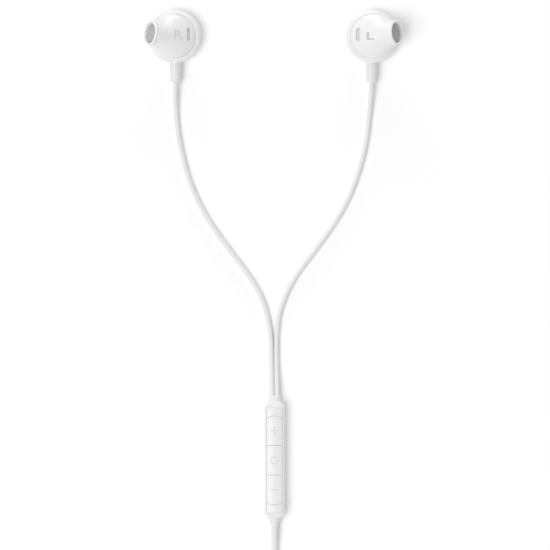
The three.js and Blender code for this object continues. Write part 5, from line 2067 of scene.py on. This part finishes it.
@dataclass
class Cords(Assembly):
    """The branch cords, the main cord with its coil, and the coil's tie."""

    branch_diameter: float = 1.6
    main_diameter: float = 2.2
    sides: int = 18
    into_boot: float = 1.3

    columns: int = 6
    pitch: float = 2.25
    per_turn: int = 96
    # Shares of a turn: the length of a crossing, and where the cord crosses outwards, upwards and inwards. The last
    # number is how much a crossing is eased at its ends.
    zone: float = 0.14
    zone_out: float = 0.52
    zone_up: float = 0.68
    zone_in: float = 0.84
    zone_ease: float = 0.35

    tie_thickness: float = 0.35
    tie_width: float = 5.0
    tie_slack: float = 0.1
    tie_corner: float = 1.5
    tie_corner_steps: int = 8
    tie_edge: float = 0.14
    tie_step: float = 0.4
    tongue_lift: float = 0.98
    tongue_reach: float = 0.62
    tongue_width: float = 0.8

    def __post_init__(self) -> None:
        """Takes the coil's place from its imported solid."""
        self.seat = Seat(Vector((0, 0, 0)))
        low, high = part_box("cord_coil")
        self.centre = Vector(((low.x + high.x) / 2, (low.y + high.y) / 2, 0)) / MM
        self.outside = (high.x - low.x) / 2 / MM
        self.mean = self.outside - self.columns * self.pitch / 2
        self.low = low.z / MM
        self.height = (high.z - low.z) / MM

    def track(self, turns: float) -> Pair:
        """Column and layer of the winding after a number of turns.

        Both layers shift by one column a turn, in zones that lie beside each other, and the cord climbs between
        them, so that nowhere do two turns share their place.

        Args:
            turns: since the cord came in at the outside of the bottom layer.

        Returns:
            The column, 0 outermost, and the layer, 0 at the bottom.
        """

        def passed(start: float) -> float:
            """Share of a zone that lies behind."""
            t = min(max((turns - start) / self.zone, 0.0), 1.0)
            return t + self.zone_ease * t * (1 - t) * (2 * t - 1)

        last = self.columns - 1
        inward = sum(passed(k + self.zone_in) for k in range(last))
        outward = sum(passed(last + 1 + k + self.zone_out) for k in range(last))
        return inward - outward, passed(last + self.zone_up)

    def coil_route(self) -> list[Vector]:
        """The coil's turns, lying on the floor and on the tie.

        Returns:
            The line, in metres.
        """
        turns = 2 * self.columns - 1
        route = []
        for i in range(turns * self.per_turn + 1):
            share = i / self.per_turn
            column, layer = self.track(share)
            angle = math.pi + 2 * math.pi * share
            radius = self.mean + ((self.columns - 1) / 2 - column) * self.pitch
            tilt = self.low * (1 + math.cos(angle)) / 2
            height = tilt + self.main_diameter / 2 + layer * self.pitch
            x = self.centre.x + radius * math.cos(angle)
            y = self.centre.y + radius * math.sin(angle)
            route.append(Vector((x, y, height)) * MM)
        return route

    def cord(self, name: str, line: list[Vector], diameter: float) -> Piece:
        """A cord along a line in metres, as a piece in millimetres."""
        return tube([p / MM for p in line], diameter / 2, self.sides).piece(name)

    def run_in(self, route: Sequence[Sequence[float]], start: Vector | None, end: Vector | None) -> list[Vector]:
        """A route's smooth line, run on into what holds its ends.

        Args:
            route: the points.
            start: which way it runs on before its first point.
            end: which way it runs on past its last point.

        Returns:
            The line.
        """
        line = smooth_route(route)
        if start:
            line.insert(0, line[0] + start * self.into_boot * MM)
        if end:
            line.append(line[-1] + end * self.into_boot * MM)
        return line

    def branch(self, side: Side) -> None:
        """Makes and fits one branch cord.

        Args:
            side: the ear that it leads to.
        """
        route = ROUTES[side]
        line = self.run_in(route, AHEAD, -AHEAD)
        node = f"cord_{side.value}"
        piece = self.fit(self.cord(f"{node}_jacket", line, self.branch_diameter), SOFT, Slot.SOFT, node)
        length_of(line)

    def main(self) -> None:
        lead = self.run_in(MAIN_ROUTE, AHEAD, None)
        tail = self.run_in(TAIL_ROUTE, None, AHEAD)
        coil = self.coil_route()
        joined = smooth_route([lead[-2], lead[-1], coil[0]])
        parted = smooth_route([coil[-1], tail[0], tail[1]])
        line = lead[:-1] + joined[1:-1] + coil + parted[1:-1] + tail[1:]
        nodes = ("cord_main", "cord_coil", "cord_tail")
        piece = self.fit(self.cord("cord_main_jacket", line, self.main_diameter), SOFT, Slot.SOFT, *nodes)
        riders = [o for o in bpy.data.objects if o.name.startswith("plug_") and o.name not in frame["nodes"]]
        riders.append(bpy.data.objects["cord_tie_band"])
        length_of(line)

    def tie(self) -> None:
        """Soft strap round the bundle of turns, with its tongue lapped over the top."""
        thick = self.tie_thickness
        outside = self.outside + self.tie_slack
        hole = self.mean * 2 - self.outside
        inside = math.sqrt(hole**2 - (self.tie_width / 2) ** 2) - self.tie_slack
        half_width, half_height = (outside - inside) / 2, (self.height + self.tie_slack) / 2
        middle = Vector((self.centre.x + (outside + inside) / 2, self.centre.y, self.low + self.height / 2))
        loop = self.strap_line(2 * half_width + thick, 2 * half_height + thick)
        piece = self.strap(loop, middle, looped=True).piece("cord_tie_band")
        reach = half_width * self.tongue_reach
        lap = [(x, z + thick * self.tongue_lift) for x, z in loop if z > half_height and abs(x) < reach]
        work(piece, self.strap(sorted(lap), middle, looped=False, narrow=self.tongue_width), Cut.JOIN)
        self.fit(piece, BAND, Slot.DARK, "cord_tie")

    def strap_line(self, width: float, height: float) -> Profile:
        """The strap's middle line round the bundle: an oblong loop with soft corners.

        Args:
            width: across the loop.
            height: of the loop.

        Returns:
            The line, with points close enough to lap its top.
        """
        loop = eased(oblong(width, height, self.tie_corner), looped=True, steps=self.tie_corner_steps)
        dense: Profile = []
        for (x0, z0), (x1, z1) in zip(loop, loop[1:] + loop[:1]):
            count = max(1, round(math.hypot(x1 - x0, z1 - z0) / self.tie_step))
            dense += [(x0 + (x1 - x0) * i / count, z0 + (z1 - z0) * i / count) for i in range(count)]
        return dense

    def strap(self, loop: Profile, middle: Vector, looped: bool, narrow: float = 1.0) -> Shape:
        """A flat strap of rounded section along a line in the XZ plane.

        Args:
            loop: the line, from the middle of the bundle.
            middle: the middle of the bundle.
            looped: whether the line closes on itself.
            narrow: share of the full width.

        Returns:
            The shape.
        """
        corners = oblong(self.tie_width * narrow, self.tie_thickness, self.tie_edge)
        section = eased(corners, looped=True, steps=3)
        count = len(loop)
        sections = []
        for i, (x, z) in enumerate(loop):
            before = loop[i - 1] if looped or i else loop[0]
            after = loop[(i + 1) % count] if looped or i < count - 1 else loop[-1]
            along = Vector((after[0] - before[0], after[1] - before[1])).normalized()
            out = Vector((along.y, -along.x))
            sections.append([middle + Vector((x + out.x * b, a, z + out.y * b)) for a, b in section])
        return Shape().loft(sections, looped=looped)

    def build(self) -> None:
        """Makes and fits every cord and the tie."""
        for side in Side:
            self.branch(side)
        self.tie()
        self.main()


# ---------------------------------------------------------------- studio


@dataclass(frozen=True)
class Lamp:
    """A soft oblong lamp that faces the middle of the table."""

    name: str
    direction: Triple
    power: float
    size: Pair
    gloss: bool = True


@dataclass
class Studio:
    """White table, soft light from the left, a strip behind the buds and a camera straight above."""

    frame_pixels: int = 550
    pixel: float = 0.00032
    middle: Pair = (0.00048, -0.0024)
    camera_height: float = 2.0
    camera_reach: float = 20.0
    sensor: float = 36.0
    table_size: float = 3.0
    table_colour: Colour = (0.97, 0.97, 0.97)
    table_lift: float = 0.085
    sky_level: float = 0.4
    lamps: tuple[Lamp, ...] = (
        Lamp("key_lamp", (-0.43, -0.25, 0.87), 228.0, (4.3, 4.3)),
        Lamp("back_strip", (0.0, 0.99, 0.14), 165.0, (6.8, 1.5)),
        Lamp("fill_lamp", (0.93, -0.05, 0.33), 26.0, (3.0, 3.0), False),
    )
    lamp_distance: float = 6.0

    def camera(self) -> None:
        """Long lens straight down, framed as the photograph is."""
        width = self.frame_pixels * self.pixel
        data = bpy.data.cameras.new("camera")
        data.sensor_width = self.sensor
        data.lens = self.sensor * self.camera_height / width
        data.clip_end = self.camera_reach
        camera = linked("camera", data)
        camera.location = (*self.middle, self.camera_height)
        bpy.context.scene.camera = camera

    def light(self, lamp: Lamp) -> None:
        """Sets up one lamp.

        Args:
            lamp: what it is like.
        """
        data = bpy.data.lights.new(lamp.name, "AREA")
        data.shape = "RECTANGLE"
        data.energy = lamp.power
        data.size, data.size_y = lamp.size
        made = linked(lamp.name, data)
        made.visible_glossy = lamp.gloss
        towards = Vector(lamp.direction).normalized()
        made.location = towards * self.lamp_distance
        made.rotation_euler = towards.to_track_quat("Z", "Y").to_euler()

    def sky(self) -> None:
        """Even light from all round, which shows as white."""
        world = bpy.data.worlds.new("sky")
        bpy.context.scene.world = world
        world.use_nodes = True
        bench = Bench(world.node_tree)
        inputs = {0: bench.background_rays()}
        for index, level in ((1, self.sky_level), (2, 1.0)):
            light = bench.node("ShaderNodeBackground", inputs={"Strength": level, "Color": (1.0, 1.0, 1.0, 1.0)})
            inputs[index] = light.outputs[0]
        mix = bench.node("ShaderNodeMixShader", inputs=inputs)
        bench.node("ShaderNodeOutputWorld", inputs={"Surface": mix.outputs[0]})

    def table(self) -> None:
        """Wide white table that keeps the shadows."""
        mesh = bpy.data.meshes.new("table")
        corners = [(x, y, 0) for x, y, _ in oblong(self.table_size, self.table_size, 0)]
        mesh.from_pydata(corners, [], [(0, 1, 2, 3)])
        material = bpy.data.materials.new("table_white")
        material.use_nodes = True
        bench = Bench(material.node_tree)
        paint = bench.node("ShaderNodeBsdfDiffuse", inputs={"Color": (*self.table_colour, 1.0)})
        lift = bench.node("ShaderNodeEmission", inputs={"Strength": self.table_lift})
        both = bench.node("ShaderNodeAddShader", inputs={0: paint.outputs[0], 1: lift.outputs[0]})
        inputs = {0: bench.background_rays(), 1: paint.outputs[0], 2: both.outputs[0]}
        mix = bench.node("ShaderNodeMixShader", inputs=inputs)
        bench.node("ShaderNodeOutputMaterial", inputs={"Surface": mix.outputs[0]})
        mesh.materials.append(material)
        table = linked("table", mesh)

    def build(self) -> None:
        """Sets up the whole studio."""
        self.camera()
        for lamp in self.lamps:
            self.light(lamp)
        self.sky()
        self.table()
        bpy.context.scene.view_settings.view_transform = "Standard"


def main() -> None:
    """Builds the studio and dresses every sub-assembly in turn."""
    logging.basicConfig(level=logging.INFO, format="%(message)s", stream=sys.stdout)
    Studio().build()
    for side in Side:
        Bud(side).build()
    Remote().build()
    Plug().build()
    Cords().build()


if __name__ == "__main__":
    main()
